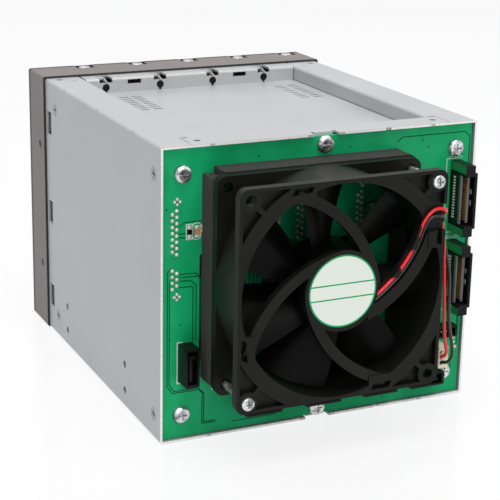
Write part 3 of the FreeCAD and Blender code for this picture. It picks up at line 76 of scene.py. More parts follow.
def material(name, base, rough, metal=0.0, specular=0.5):
    """A Principled material with its constants on the shader's own sockets."""
    mat = bpy.data.materials.new(name)
    mat.use_nodes = True
    tree = mat.node_tree
    tree.nodes.clear()
    out = add(tree, "ShaderNodeOutputMaterial")
    shader = add(tree, "ShaderNodeBsdfPrincipled")
    tree.links.new(shader.outputs["BSDF"], out.inputs["Surface"])
    shader.inputs["Base Color"].default_value = linear(base)
    shader.inputs["Roughness"].default_value = rough
    shader.inputs["Metallic"].default_value = metal
    shader.inputs["Specular IOR Level"].default_value = specular
    coords = add(tree, "ShaderNodeTexCoord")
    return mat, tree, shader, coords.outputs["Object"]


def per_mm(size):
    """Texture scale that gives features of this size in mm."""
    return 1000.0 / size


def noise(tree, coords, scale, detail=3.0, rough=0.55, stretch=None):
    """Soft random pattern on object coordinates, stretched along an axis where one is given."""
    if stretch:
        coords = add(tree, "ShaderNodeMapping", {"Vector": coords, "Scale": stretch}).outputs["Vector"]
    return add(tree, "ShaderNodeTexNoise", {"Vector": coords, "Scale": scale, "Detail": detail,
                                            "Roughness": rough}).outputs["Fac"]


def ramp(tree, factor, low, high, start=0.3, end=0.7):
    """Turns a 0..1 factor into a value from low to high."""
    return add(tree, "ShaderNodeMapRange", {"Value": factor, "From Min": start, "From Max": end,
                                            "To Min": low, "To Max": high}).outputs["Result"]


def tint(tree, factor, dark, light):
    """Mixes two colours by a factor."""
    mix = add(tree, "ShaderNodeMix", data_type="RGBA")
    tree.links.new(factor, mix.inputs["Factor"])
    mix.inputs["A"].default_value = linear(dark)
    mix.inputs["B"].default_value = linear(light)
    return mix.outputs["Result"]


def bump(tree, shader, height, strength, distance):
    """Relief from a height factor; the distance is in metres."""
    node = add(tree, "ShaderNodeBump", {"Height": height, "Strength": strength, "Distance": distance})
    tree.links.new(node.outputs["Normal"], shader.inputs["Normal"])


# ------------------------------------------------------------------ camera
# Sight line, lens in mm, lens shift in frame widths and place in metres.
VIEW_AZIMUTH = math.radians(24.660)     # round from +Y towards +X
VIEW_ELEVATION = math.radians(16.179)
VIEW_ROLL = math.radians(0.975)
VIEW_LENS = 105.01
VIEW_SHIFT = (0.0321, -0.0714)
REAR_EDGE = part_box("side_panel_right")[1].y
VIEW_PLACE = Vector((0.27706, 0.51365 + REAR_EDGE, 0.25982))


def aim_camera():
    """Long lens behind the cage, shifted a little so that its uprights stay nearly parallel."""
    back = Vector((math.sin(VIEW_AZIMUTH) * math.cos(VIEW_ELEVATION),
                   math.cos(VIEW_AZIMUTH) * math.cos(VIEW_ELEVATION), math.sin(VIEW_ELEVATION)))
    right = Vector((0, 0, 1)).cross(back).normalized()
    up = back.cross(right)
    across = math.cos(VIEW_ROLL) * right + math.sin(VIEW_ROLL) * up
    turn = Matrix((across, back.cross(across), back)).transposed().to_4x4()
    data = bpy.data.cameras.new("main_camera")
    data.lens = VIEW_LENS
    data.sensor_width = 36.0
    data.shift_x, data.shift_y = VIEW_SHIFT
    data.clip_start = 0.01
    camera = bpy.data.objects.new("main_camera", data)
    camera.matrix_world = Matrix.Translation(VIEW_PLACE) @ turn
    bpy.context.scene.collection.objects.link(camera)
    bpy.context.scene.camera = camera


aim_camera()


# ------------------------------------------------------------------ materials
# Pattern scales are in cells per metre, so the size that each one gives follows it in mm.
SPARK_GRAIN = 2200.0        # 0.45 mm, drawn about ten times coarser than spark-eroded grain to show
FLAT_GRAIN = 1500.0         # 0.67 mm, faint waviness of a flat face
WIRE_GRAIN = 900.0          # 1.1 mm, slow ripple of extruded insulation
METAL_GRAIN = 900.0         # 1.1 mm, patches of plating
MOULD_CLOUD = 35.0          # 29 mm, slow change of gloss across a moulding
BOARD_CLOUD = 45.0          # 22 mm, thickness of the mask
WEAVE = 260.0               # 3.8 mm, glass cloth, drawn coarser than its 0.5 mm threads to show
FOAM_PORE = 1500.0          # 0.67 mm, closed cells
FOAM_CLOUD = 60.0           # 17 mm, dust and wear
PAPER_FIBRE = 1800.0        # 0.55 mm, drawn coarser than paper fibre to show

def make_steel():
    """Electro-galvanised sheet, skin-passed: even satin grey with a very fine zinc speckle."""
    mat, tree, shader, coords = material("zinc_coated_steel", "#B4B5B6", 0.46, 0.3)
    speckle = noise(tree, coords, per_mm(0.5), 2.0, 0.6)        # drawn coarser than the real 0.05 mm grain
    cloud = noise(tree, coords, per_mm(40.0), 3.0, 0.5)
    mixed = add(tree, "ShaderNodeMath", {0: speckle, 1: cloud}, operation="ADD").outputs["Value"]
    tone = ramp(tree, mixed, 0.0, 1.0, 0.7, 1.3)
    tree.links.new(tint(tree, tone, "#AEAFB0", "#B8B9BA"), shader.inputs["Base Color"])
    tree.links.new(ramp(tree, cloud, 0.44, 0.5), shader.inputs["Roughness"])
    bump(tree, shader, speckle, 0.03, 0.00003)
    return mat


def make_moulded(name, dark, light, rough, grain=SPARK_GRAIN, strength=0.12, specular=0.5):
    """Moulded plastic with a spark-eroded grain and slightly uneven gloss."""
    mat, tree, shader, coords = material(name, dark, rough, specular=specular)
    grain_fac = noise(tree, coords, grain, 2.0, 0.6)
    cloud = noise(tree, coords, MOULD_CLOUD, 3.0, 0.5)
    tree.links.new(tint(tree, ramp(tree, cloud, 0.0, 1.0), dark, light), shader.inputs["Base Color"])
    tree.links.new(ramp(tree, cloud, rough - 0.05, rough + 0.06), shader.inputs["Roughness"])
    bump(tree, shader, grain_fac, strength, 0.00006)
    return mat


def make_metal(name, dark, light, rough, brushed=(1.0, 1.0, 1.0), scale=METAL_GRAIN, metal=1.0):
    """Bare or plated metal: uneven tone and gloss, stretched along the axis that brushed gives."""
    mat, tree, shader, coords = material(name, light, rough, metal)
    fine = noise(tree, coords, scale, 3.0, 0.6, brushed)
    tree.links.new(tint(tree, ramp(tree, fine, 0.0, 1.0), dark, light), shader.inputs["Base Color"])
    tree.links.new(ramp(tree, fine, rough - 0.04, rough + 0.08), shader.inputs["Roughness"])
    bump(tree, shader, fine, 0.05, 0.00003)
    return mat


def make_board():
    """Glass-epoxy board under green solder mask: saturated, little glare, the weave just showing."""
    mat, tree, shader, coords = material("solder_mask", "#0B7A44", 0.3, specular=0.12)
    cloud = noise(tree, coords, BOARD_CLOUD, 3.0, 0.55)
    weave_x = add(tree, "ShaderNodeTexWave", {"Vector": coords, "Scale": WEAVE, "Distortion": 0.6},
                  bands_direction="X").outputs["Fac"]
    weave_z = add(tree, "ShaderNodeTexWave", {"Vector": coords, "Scale": WEAVE, "Distortion": 0.6},
                  bands_direction="Z").outputs["Fac"]
    weave = add(tree, "ShaderNodeMath", {0: weave_x, 1: weave_z}, operation="MULTIPLY").outputs["Value"]
    tree.links.new(tint(tree, ramp(tree, cloud, 0.0, 1.0), "#0A9659", "#1FAD72"), shader.inputs["Base Color"])
    bump(tree, shader, weave, 0.04, 0.00003)
    return mat


def make_foam():
    """Closed-cell foam: fine pores with a dusty sheen."""
    mat, tree, shader, coords = material("gasket_foam", "#2C2B29", 0.95, specular=0.2)
    pores = add(tree, "ShaderNodeTexVoronoi", {"Vector": coords, "Scale": FOAM_PORE}).outputs["Distance"]
    cloud = noise(tree, coords, FOAM_CLOUD, 3.0, 0.6)
    mixed = add(tree, "ShaderNodeMath", {0: pores, 1: cloud}, operation="MULTIPLY").outputs["Value"]
    tone = ramp(tree, mixed, 0.0, 1.0, 0.1, 0.45)
    tree.links.new(tint(tree, tone, "#131311", "#2A2926"), shader.inputs["Base Color"])
    shader.inputs["Sheen Weight"].default_value = 0.08
    shader.inputs["Sheen Roughness"].default_value = 0.6
    bump(tree, shader, pores, 0.5, 0.00025)
    return mat


LABEL_RING = 0.01445        # radius where the printed ring starts, m
LABEL_CHORD = 0.003         # chord lines above and below the middle, m
CHORD_HALF = 0.0003         # half width of a chord line, m


def make_label():
    """White coated paper with a printed green ring and two chord lines; no lettering."""
    mat, tree, shader, coords = material("fan_label_paper", "#D6DCD3", 0.5, specular=0.2)
    low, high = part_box("fan_label")
    centre = (low + high) / 2
    split = add(tree, "ShaderNodeSeparateXYZ", {"Vector": coords})
    dx = add(tree, "ShaderNodeMath", {0: split.outputs["X"], 1: centre.x},
             operation="SUBTRACT").outputs["Value"]
    dz = add(tree, "ShaderNodeMath", {0: split.outputs["Z"], 1: centre.z},
             operation="SUBTRACT").outputs["Value"]
    xx = add(tree, "ShaderNodeMath", {0: dx, 1: dx}, operation="MULTIPLY").outputs["Value"]
    zz = add(tree, "ShaderNodeMath", {0: dz, 1: dz}, operation="MULTIPLY").outputs["Value"]
    total = add(tree, "ShaderNodeMath", {0: xx, 1: zz}, operation="ADD").outputs["Value"]
    radius = add(tree, "ShaderNodeMath", {0: total}, operation="SQRT").outputs["Value"]
    ring = add(tree, "ShaderNodeMath", {0: radius, 1: LABEL_RING}, operation="GREATER_THAN").outputs["Value"]
    lines = ring
    for z in (-LABEL_CHORD, LABEL_CHORD):
        gap = add(tree, "ShaderNodeMath", {0: dz, 1: z}, operation="SUBTRACT").outputs["Value"]
        gap = add(tree, "ShaderNodeMath", {0: gap}, operation="ABSOLUTE").outputs["Value"]
        line = add(tree, "ShaderNodeMath", {0: gap, 1: CHORD_HALF}, operation="LESS_THAN").outputs["Value"]
        lines = add(tree, "ShaderNodeMath", {0: lines, 1: line}, operation="MAXIMUM").outputs["Value"]
    tree.links.new(tint(tree, lines, "#DCE3D9", "#1E9A60"), shader.inputs["Base Color"])
    fibre = noise(tree, coords, PAPER_FIBRE, 2.0, 0.6)
    bump(tree, shader, fibre, 0.03, 0.00002)
    return mat


BEZEL_LIP = 0.0025          # depth of the dark front lip, m
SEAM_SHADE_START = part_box("side_panel_right")[0].y - 0.0006    # where the painted shade of the rear seam starts


def make_bezel():
    """Moulded ABS with a fine matt grain: warm grey outside, its front lip near black, and a painted shade
    near black along its rear seam against the steel.
    """
    mat, tree, shader, coords = material("bezel_plastic", "#5C5452", 0.5)
    grain = noise(tree, coords, per_mm(0.7), 2.0, 0.6)
    cloud = noise(tree, coords, per_mm(30.0), 3.0, 0.5)
    tone = tint(tree, ramp(tree, cloud, 0.0, 1.0), "#6A6462", "#726B69")
    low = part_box("bezel_frame")[0]
    depth = add(tree, "ShaderNodeSeparateXYZ", {"Vector": coords}).outputs["Y"]
    lip = ramp(tree, depth, 1.0, 0.0, low.y + BEZEL_LIP, low.y + BEZEL_LIP + 0.0004)
    # painted shade: the rear seam where the bezel meets the steel turns near black
    seam_shade = ramp(tree, depth, 0.0, 1.0, SEAM_SHADE_START - 0.0003, SEAM_SHADE_START)
    dark = add(tree, "ShaderNodeMath", {0: lip, 1: seam_shade}, operation="MAXIMUM")
    mix = add(tree, "ShaderNodeMix", data_type="RGBA")
    tree.links.new(dark.outputs["Value"], mix.inputs["Factor"])
    tree.links.new(tone, mix.inputs["A"])
    mix.inputs["B"].default_value = linear("#161413")
    tree.links.new(mix.outputs["Result"], shader.inputs["Base Color"])
    bump(tree, shader, grain, 0.12, 0.00006)
    return mat


# Sheet metal and moulded ABS, each with its own maker above.
STEEL = make_steel()
BEZEL = make_bezel()
# Glass-filled nylon and PBT mouldings: near black, satin, faint grain, and darker on the blades.
BLACK = make_moulded("connector_plastic", "#0A0B0B", "#111212", 0.32, per_mm(0.8), 0.03, 0.15)
FAN = make_moulded("fan_plastic", "#11110F", "#181816", 0.4, per_mm(0.6), 0.08, 0.14)
BLADES = make_moulded("fan_blade_plastic", "#050505", "#090908", 0.35, per_mm(0.8), 0.04, 0.07)
GUIDE = make_moulded("glide_plastic", "#151516", "#1C1C1D", 0.45)
IVORY = make_moulded("ivory_plastic", "#DED3B8", "#E9E0C9", 0.42, per_mm(0.7), 0.04, 0.3)
# Plated steel: bright with dark patches, a painted reflection of rolled threads and heads; sheared edges are
# painted near white as a highlight.
SCREW = make_metal("plated_screw", "#5F6366", "#F4F5F5", 0.2, scale=per_mm(2.6), metal=0.85)
DULL_SCREW = make_metal("zinc_screw", "#8F8F90", "#A9A9AA", 0.4, metal=0.6)
EDGE_HIGHLIGHT = make_metal("sheared_edge_painted_highlight", "#E4E4E3", "#F6F6F5", 0.3, metal=0.2)
SILVER = make_metal("silver_latch", "#B4B6BA", "#CDCFD2", 0.34)
# Motor and contacts: dull layered iron, porous bronze, flash gold and bright solder.
IRON = make_metal("lamination_iron", "#4E4A47", "#6F6A66", 0.5, (1.0, 60.0, 1.0))
BRONZE = make_metal("sintered_bronze", "#7D6133", "#A58245", 0.45)
MAGNET = make_moulded("ferrite", "#1C1C1E", "#262628", 0.6)
GOLD = make_metal("gold_contact", "#B08A34", "#D9B45C", 0.35, metal=0.5)
TIN = make_metal("solder_tin", "#B8B2AC", "#ECEAE6", 0.35, scale=per_mm(1.0), metal=0.3)
BOARD = make_board()
FOAM = make_foam()
LABEL = make_label()
# PVC wire insulation: extruded, even colour, soft gloss.
RED = make_moulded("red_insulation", "#D8141C", "#E91F27", 0.3, WIRE_GRAIN, 0.03)
LEAD_BLACK = make_moulded("black_insulation", "#0B0B0B", "#121212", 0.3, WIRE_GRAIN, 0.03)
# Board finishes: flat printed ink, copper seen dark through the mask, fired brown ceramic.
SILK = make_moulded("silkscreen_ink", "#D9E2DA", "#E8EEE8", 0.55, FLAT_GRAIN, 0.03)
TRACE = make_moulded("masked_copper", "#044426", "#065332", 0.35, per_mm(0.7), 0.03, 0.1)
CERAMIC = make_moulded("capacitor_ceramic", "#A96A3C", "#BE8150", 0.5, FLAT_GRAIN, 0.05)
# Socket sides: their ends carry the board's green as a painted reflection, their flanks are a dark sheet of
# painted shade, and their rims are grey.
SOCKET_END_REFLECTION = make_moulded("socket_end_painted_reflection", "#11713F", "#2C8A50", 0.3, per_mm(0.7), 0.03, 0.15)
SOCKET_SHADE = make_moulded("socket_flank_painted_shade", "#03190D", "#06220F", 0.3, per_mm(0.7), 0.03, 0.12)
RIM = make_moulded("socket_rim", "#5E5A62", "#6F6B73", 0.5, per_mm(0.7), 0.03, 0.2)

BY_SLOT = {
    "sheet_steel": STEEL, "bezel_plastic": BEZEL, "latch_silver": SILVER, "guide_plastic": GUIDE,
    "green_board": BOARD, "connector_plastic": BLACK, "ivory_plastic": IVORY, "screw_steel": SCREW,
    "fan_plastic": FAN, "magnet": MAGNET, "stator_iron": IRON, "bearing_metal": BRONZE,
    "label_paper": LABEL, "foam": FOAM, "lead_red": RED, "lead_black": LEAD_BLACK,
}
for entry in frame["record"]["subparts"]:
    node = NODES[entry["node"]]
    node.data.materials.clear()
    node.data.materials.append(BY_SLOT[entry["material_slot"]])
NODES["side_screws"].data.materials[0] = DULL_SCREW
NODES["fan_rotor"].data.materials[0] = BLADES

# ------------------------------------------------------------------ fan leads
LEAD_DIAMETER = 1.5 * MM
RED_ROUTE = [(-7.2, 102.0, 66.2), (-12.0, 102.0, 69.5), (-19.2, 102.0, 76.9), (-24.5, 102.0, 85.5),
             (-27.6, 102.0, 95.2), (-32.5, 102.4, 100.0), (-39.0, 101.7, 98.6), (-40.0, 96.0, 94.0),
             (-42.0, 95.3, 84.0), (-44.0, 93.9, 71.0), (-46.2, 91.9, 58.0), (-48.8, 88.7, 46.0),
             (-51.6, 85.9, 34.5), (-54.2, 84.3, 28.2), (-55.0, 81.6, 24.6), (-55.2, 76.7, 23.0)]
BLACK_ROUTE = [(-6.5, 102.0, 63.9), (-13.1, 102.0, 68.4), (-20.4, 102.0, 75.9), (-25.9, 102.0, 84.9),
               (-29.3, 102.0, 94.9), (-32.5, 102.4, 96.8), (-38.9, 101.2, 95.6), (-39.6, 95.0, 90.0),
               (-43.4, 94.4, 80.0), (-46.6, 94.3, 68.0), (-49.2, 90.9, 54.0), (-52.9, 86.9, 40.0),
               (-56.3, 85.3, 30.0), (-56.9, 84.3, 24.4), (-55.6, 81.7, 21.4), (-55.2, 76.7, 20.5)]


def lead(name, route, finish, node):
    """Insulated wire on one smooth line from the fan's hub to its plug."""
    data = bpy.data.curves.new(name, "CURVE")
    data.dimensions = "3D"
    data.bevel_depth = LEAD_DIAMETER / 2
    data.bevel_resolution = 5
    data.use_fill_caps = True
    spline = data.splines.new("NURBS")
    spline.points.add(len(route) - 1)
    for point, place in zip(spline.points, route):
        point.co = [c * MM for c in place] + [1.0]
    spline.order_u = 3
    spline.use_endpoint_u = True
    spline.resolution_u = 12
    data.materials.append(finish)
    wire = bpy.data.objects.new(name, data)
    bpy.context.scene.collection.objects.link(wire)
    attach(wire, "cage")
    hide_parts(node)


lead("red_fan_lead", RED_ROUTE, RED, "fan_lead_red")
lead("black_fan_lead", BLACK_ROUTE, LEAD_BLACK, "fan_lead_black")

# ------------------------------------------------------------------ shapes that repeat
def row_tree():
    """Node tree that sets copies of a mesh at even steps along a line."""
    tree = bpy.data.node_groups.new("evenly_spaced_row", "GeometryNodeTree")
    sockets = {}
    for name, kind in (("Shape", "Geometry"), ("Count", "Int"), ("Start", "Vector"), ("Step", "Vector"),
                       ("Finish", "Material")):
        sockets[name] = tree.interface.new_socket(name, in_out="INPUT", socket_type="NodeSocket" + kind)
    tree.interface.new_socket("Row", in_out="OUTPUT", socket_type="NodeSocketGeometry")
    given = add(tree, "NodeGroupInput").outputs
    line = add(tree, "GeometryNodeMeshLine", {"Count": given["Count"], "Start Location": given["Start"],
                                              "Offset": given["Step"]}, mode="OFFSET")
    copies = add(tree, "GeometryNodeInstanceOnPoints", {"Points": line.outputs["Mesh"],
                                                        "Instance": given["Shape"]})
    real = add(tree, "GeometryNodeRealizeInstances", {"Geometry": copies.outputs["Instances"]})
    painted = add(tree, "GeometryNodeSetMaterial", {"Geometry": real.outputs["Geometry"],
                                                    "Material": given["Finish"]})
    add(tree, "NodeGroupOutput", {"Row": painted.outputs["Geometry"]})
    return tree, {name: socket.identifier for name, socket in sockets.items()}


ROW_TREE, ROW_INPUTS = row_tree()


def row_of(shape, count, start, step, finish):
    """Plain mesh of count copies of the shape, the first at start (mm) and the rest a step apart."""
    holder = bpy.data.objects.new("row_template", shape)
    bpy.context.scene.collection.objects.link(holder)
    row = holder.modifiers.new("row", "NODES")
    row.node_group = ROW_TREE
    row[ROW_INPUTS["Count"]] = count
    row[ROW_INPUTS["Start"]] = [c * MM for c in start]
    row[ROW_INPUTS["Step"]] = [c * MM for c in step]
    row[ROW_INPUTS["Finish"]] = finish
    graph = bpy.context.evaluated_depsgraph_get()
    mesh = bpy.data.meshes.new_from_object(holder.evaluated_get(graph))
    holder.modifiers.remove(row)
    bpy.data.objects.remove(holder)
    return mesh


def piece(name, parts, finish, node=None, smooth=False):
    """Joins meshes into one piece of the cage."""
    whole = bmesh.new()
    for part in parts:
        whole.from_mesh(part)
    mesh = bpy.data.meshes.new(name)
    whole.to_mesh(mesh)
    whole.free()
    for face in mesh.polygons:
        face.material_index = 0
        face.use_smooth = smooth
    mesh.materials.append(finish)
    thing = bpy.data.objects.new(name, mesh)
    bpy.context.scene.collection.objects.link(thing)
    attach(thing, "cage")
    if node:
        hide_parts(node)
    return thing


def as_mesh(shape):
    mesh = bpy.data.meshes.new("shape")
    shape.to_mesh(mesh)
    shape.free()
    return mesh


def block(low, high, round_over=0.0):
    """Box between two corners in mm, its edges rounded over."""
    shape = bmesh.new()
    bmesh.ops.create_cube(shape, size=1.0)
    size = [(b - a) * MM for a, b in zip(low, high)]
    middle = [(a + b) / 2 * MM for a, b in zip(low, high)]
    bmesh.ops.scale(shape, vec=size, verts=shape.verts)
    bmesh.ops.translate(shape, vec=middle, verts=shape.verts)
    if round_over:
        bmesh.ops.bevel(shape, geom=shape.edges[:], offset=round_over * MM, segments=2, affect="EDGES",
                        profile=0.5)
    return as_mesh(shape)


def turned(profile, sides, lobes=0, lobe_depth=0.0):
    """Solid of revolution about Y from (radius, height) pairs in mm; lobes make a lumpy blob."""
    shape = bmesh.new()
    rings = []
    for radius, height in profile:
        ring = []
        for k in range(sides):
            a = 2 * math.pi * k / sides
            r = radius * (1 + lobe_depth * math.cos(lobes * a)) if lobes else radius
            ring.append(shape.verts.new((r * math.cos(a) * MM, height * MM, r * math.sin(a) * MM)))
        rings.append(ring)
    for lower, upper in zip(rings, rings[1:]):
        for k in range(sides):
            n = (k + 1) % sides
            shape.faces.new((lower[k], lower[n], upper[n], upper[k]))
    shape.faces.new(rings[-1])
    shape.faces.new(list(reversed(rings[0])))
    bmesh.ops.recalc_face_normals(shape, faces=shape.faces)
    return as_mesh(shape)


def ribbon(points, width, base, thick, closed=False):
    """Flat strip along points (X, Z in mm) on a plane of constant Y, with mitred corners."""
    count = len(points)
    left, right = [], []
    for k, (x, z) in enumerate(points):
        before = points[(k - 1) % count] if closed or k > 0 else None
        after = points[(k + 1) % count] if closed or k < count - 1 else None
        ways = []
        for a, b in ((before, (x, z)), ((x, z), after)):
            if a and b:
                ways.append(Vector((b[0] - a[0], b[1] - a[1])).normalized())
        way = sum(ways, Vector((0, 0))).normalized()
        reach = width / 2 / max(0.4, way.dot(ways[0]))
        side = Vector((-way.y, way.x)) * reach
        left.append((x + side.x, z + side.y))
        right.append((x - side.x, z - side.y))
    shape = bmesh.new()
    levels = []
    for y in (base, base + thick):
        levels.append([[shape.verts.new((x * MM, y * MM, z * MM)) for x, z in line]
                       for line in (left, right)])
    (lower_l, lower_r), (upper_l, upper_r) = levels
    last = count if closed else count - 1
    for k in range(last):
        n = (k + 1) % count
        shape.faces.new((upper_l[k], upper_l[n], upper_r[n], upper_r[k]))
        shape.faces.new((lower_l[k], lower_r[k], lower_r[n], lower_l[n]))
        shape.faces.new((lower_l[k], lower_l[n], upper_l[n], upper_l[k]))
        shape.faces.new((lower_r[k], upper_r[k], upper_r[n], lower_r[n]))
    if not closed:
        for k in (0, count - 1):
            shape.faces.new((lower_l[k], upper_l[k], upper_r[k], lower_r[k]))
    bmesh.ops.recalc_face_normals(shape, faces=shape.faces)
    return as_mesh(shape)


def rounded_outline(x0, z0, x1, z1, radius, steps=5):
    """Points round a rectangle with round corners."""
    points = []
    for cx, cz, start in ((x1 - radius, z1 - radius, 0), (x0 + radius, z1 - radius, 90),
                          (x0 + radius, z0 + radius, 180), (x1 - radius, z0 + radius, 270)):
        for k in range(steps + 1):
            a = math.radians(start + 90 * k / steps)
            points.append((cx + radius * math.cos(a), cz + radius * math.sin(a)))
    return points


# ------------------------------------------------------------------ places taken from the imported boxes
def millimetres(node):
    low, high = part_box(node)
    return [c / MM for c in low], [c / MM for c in high]


BOARD_HIGH = millimetres("backplane_board")[1]
FACE = BOARD_HIGH[1]                    # the board's bare rear face
SOCKETS_LOW, SOCKETS_HIGH = millimetres("drive_connectors")
COLUMN_PITCH = 28.0
COLUMNS = [SOCKETS_HIGH[0] - 2.9 - COLUMN_PITCH * i for i in range(5)]
COLUMN_MID = (SOCKETS_LOW[2] + SOCKETS_HIGH[2]) / 2
PIN_PITCH = 2.6

# ------------------------------------------------------------------ solder joints of the drive sockets
SOLDER_DOT = turned([(0.88, 0.0), (0.8, 0.3), (0.64, 0.6), (0.42, 0.85), (0.18, 0.95)], 14)
PEG_DOT = turned([(0.72, 0.0), (0.66, 0.4), (0.5, 0.75), (0.2, 0.9)], 14)
PIN_ROWS = ((-0.85, 15.8, 8), (1.05, 14.4, 7), (1.0, -9.1, 4), (-1.0, -10.4, 3))
PEG_OFFSET = -1.0
PEG_RISE = 19.5
PEG_SPACING = 39.9
PEG_STEP = 1.15
joints = []
blobs = []
for column in COLUMNS:
    for dx, dz, count in PIN_ROWS:
        start = (column + dx, FACE, COLUMN_MID + dz)
        joints.append(row_of(SOLDER_DOT, count, start, (0, 0, -PIN_PITCH), TIN))
    for dx, dz in ((0, PEG_STEP), (PEG_STEP, 0), (0, -PEG_STEP), (-PEG_STEP, 0)):
        start = (column + PEG_OFFSET + dx, FACE, COLUMN_MID + PEG_RISE + dz)
        blobs.append(row_of(PEG_DOT, 2, start, (0, 0, -PEG_SPACING), TIN))
piece("socket_solder_joints", joints, TIN, smooth=True)
piece("socket_locating_pegs", blobs, TIN, smooth=True)

# ------------------------------------------------------------------ small parts beside each socket
INK_LINE = 0.26             # width of a printed line
INK_THICK = 0.05            # drawn thicker than ink so that it clears the board
chips, caps, ends, outlines, traces = [], [], [], [], []
for number, column in enumerate(COLUMNS):
    x = column - 6.4
    z = COLUMN_MID + 6.5
    chips.append(block((x - 0.95, FACE + 0.02, z - 1.0), (x + 0.95, FACE + 0.62, z + 1.0), 0.08))
    for dz in (-1.95, 1.95):
        ends.append(block((x - 0.95, FACE, z + dz - 0.85), (x + 0.95, FACE + 0.5, z + dz + 0.85), 0.2))
    border = rounded_outline(x - 1.35, z - 3.2, x + 1.35, z + 3.2, 0.25, 2)
    outlines.append(ribbon(border, INK_LINE, FACE, INK_THICK, True))
    x = column - 9.6
    caps.append(block((x - 1.05, FACE + 0.02, z - 1.05), (x + 1.05, FACE + 1.15, z + 1.05), 0.12))
    for dz in (-1.75, 1.75):
        ends.append(block((x - 1.0, FACE, z + dz - 0.75), (x + 1.0, FACE + 0.9, z + dz + 0.75), 0.25))
    border = rounded_outline(x - 1.75, z - 3.5, x + 1.75, z + 3.5, 1.6, 6)
    outlines.append(ribbon(border, INK_LINE, FACE, INK_THICK, True))
    if number in (0, 2):
        x = column - 12.0 if number == 0 else column + 9.8
        caps.append(block((x - 0.55, FACE + 0.02, z + 0.1), (x + 0.55, FACE + 0.8, z + 1.9), 0.1))
        ends.append(block((x - 0.55, FACE, z + 1.9), (x + 0.55, FACE + 0.6, z + 2.5), 0.12))
        ends.append(block((x - 0.55, FACE, z - 0.5), (x + 0.55, FACE + 0.6, z + 0.1), 0.12))
    c, m = column, COLUMN_MID
    traces.append([(c - 2.2, m + 9.2), (c - 4.4, m + 10.6), (c - 11.9, m + 10.6)])
    traces.append([(c - 1.6, m + 5.9), (c - 5.4, m + 6.1)])
    traces.append([(c - 1.8, m + 4.6), (c - 5.0, m + 4.1)])

# ------------------------------------------------------------------ printed lines and copper runs
edge = BOARD_HIGH[0]
left = edge - 1.9
traces += [
    [(64.3, 72.6), (57.1, 72.4), (54.6, 70.2), (54.6, 50.0)],
    [(64.3, 71.3), (56.3, 71.0), (55.2, 69.9), (55.2, 44.0)],
    [(64.3, 69.8), (59.2, 69.4), (56.9, 67.2), (56.9, 43.2)],
    [(64.3, 67.1), (58.9, 66.8), (58.3, 66.2), (58.3, 43.2)],
    [(67.7, 75.6), (69.7, 73.6), (left - 0.3, 72.9), (left, 72.0), (left, 24.6), (67.0, 21.3), (55.4, 21.3),
     (53.8, 19.5), (53.8, 5.7), (47.6, 5.7)],
    [(left - 0.9, 70.0), (left - 0.9, 25.2), (66.4, 22.1), (55.6, 22.1), (53.0, 19.2), (53.0, 6.4),
     (47.6, 6.4)],
    [(-34.6, 119.2), (-36.9, 121.1), (-68.2, 121.1), (-70.6, 118.8), (-70.6, 104.0)],
    [(40.0, 4.4), (20.2, 4.4), (18.0, 6.6), (18.0, 9.6)],
    [(-8.0, 5.0), (-11.0, 5.0), (-13.2, 7.2), (-24.0, 7.2)],
    [(-69.6, 62.0), (-69.6, 30.0), (-66.4, 26.6)],
    [(-70.3, 58.0), (-70.3, 24.0), (-67.6, 21.0), (-67.6, 9.6)],
]
for step in range(5):
    x = 28.0 + 1.9 * step
    traces.append([(x, 73.0 - 0.3 * step), (x + 1.4, 71.6 - 0.3 * step), (x + 1.4, 64.0), (x + 5.6, 59.8)])
piece("board_traces", [ribbon(run, 0.45, FACE, 0.035) for run in traces], TRACE)

upright_low, upright_high = millimetres("data_connector_upright")
inner, outer = upright_low[0] + 4.4, upright_high[0] + 0.5
over, under = upright_high[2] + 0.4, upright_low[2] - 0.7
outlines.append(ribbon([(inner, over), (outer, over), (outer, under), (inner, under)], 0.3, FACE, INK_THICK))
for node in ("power_connector_upper", "power_connector_lower"):
    low, high = millimetres(node)
    x = high[0] + 2.1
    outlines.append(ribbon([(low[0] + 1.0, high[2] + 0.8), (x, high[2] + 0.8), (x, low[2] - 0.8),
                            (low[0] + 1.0, low[2] - 0.8)], 0.22, FACE, INK_THICK))
    for k in (0, 1):
        cx = high[0] - 0.6 - 3.6 * k
        arc = [(cx + 1.5 * math.cos(a), high[2] + 0.9 + 0.9 * math.sin(a))
               for a in [math.pi * n / 8 for n in range(9)]]
        outlines.append(ribbon(arc, 0.2, FACE, INK_THICK))
for x, z in ((48.9, 21.0), (-68.4, 24.4), (-68.5, 27.0), (-69.4, 22.2)):
    ends.append(row_of(turned([(0.85, 0.0), (0.8, 0.12), (0.5, 0.2), (0.35, 0.12)], 16), 1, (x, FACE, z),
                       (0, 0, 0), TIN))
vias = [(-50.0, 115.8), (52.0, 98.6), (52.0, 58.4), (70.0, 100.2), (-47.0, 119.0), (38.0, 14.6),
        (-20.0, 12.2), (63.6, 51.0), (68.6, 45.2), (-33.0, 4.0), (30.0, 118.8), (-12.0, 119.2)]
via_rings = [row_of(turned([(0.42, 0.0), (0.38, 0.05), (0.16, 0.05), (0.12, 0.02)], 12), 1, (x, FACE, z),
                    (0, 0, 0), TRACE) for x, z in vias]
piece("board_vias", via_rings, TRACE)
piece("chip_resistors", chips, BLACK)
piece("chip_capacitors", caps, CERAMIC)
piece("chip_ends", ends, TIN, smooth=True)
piece("printed_outlines", outlines, SILK)

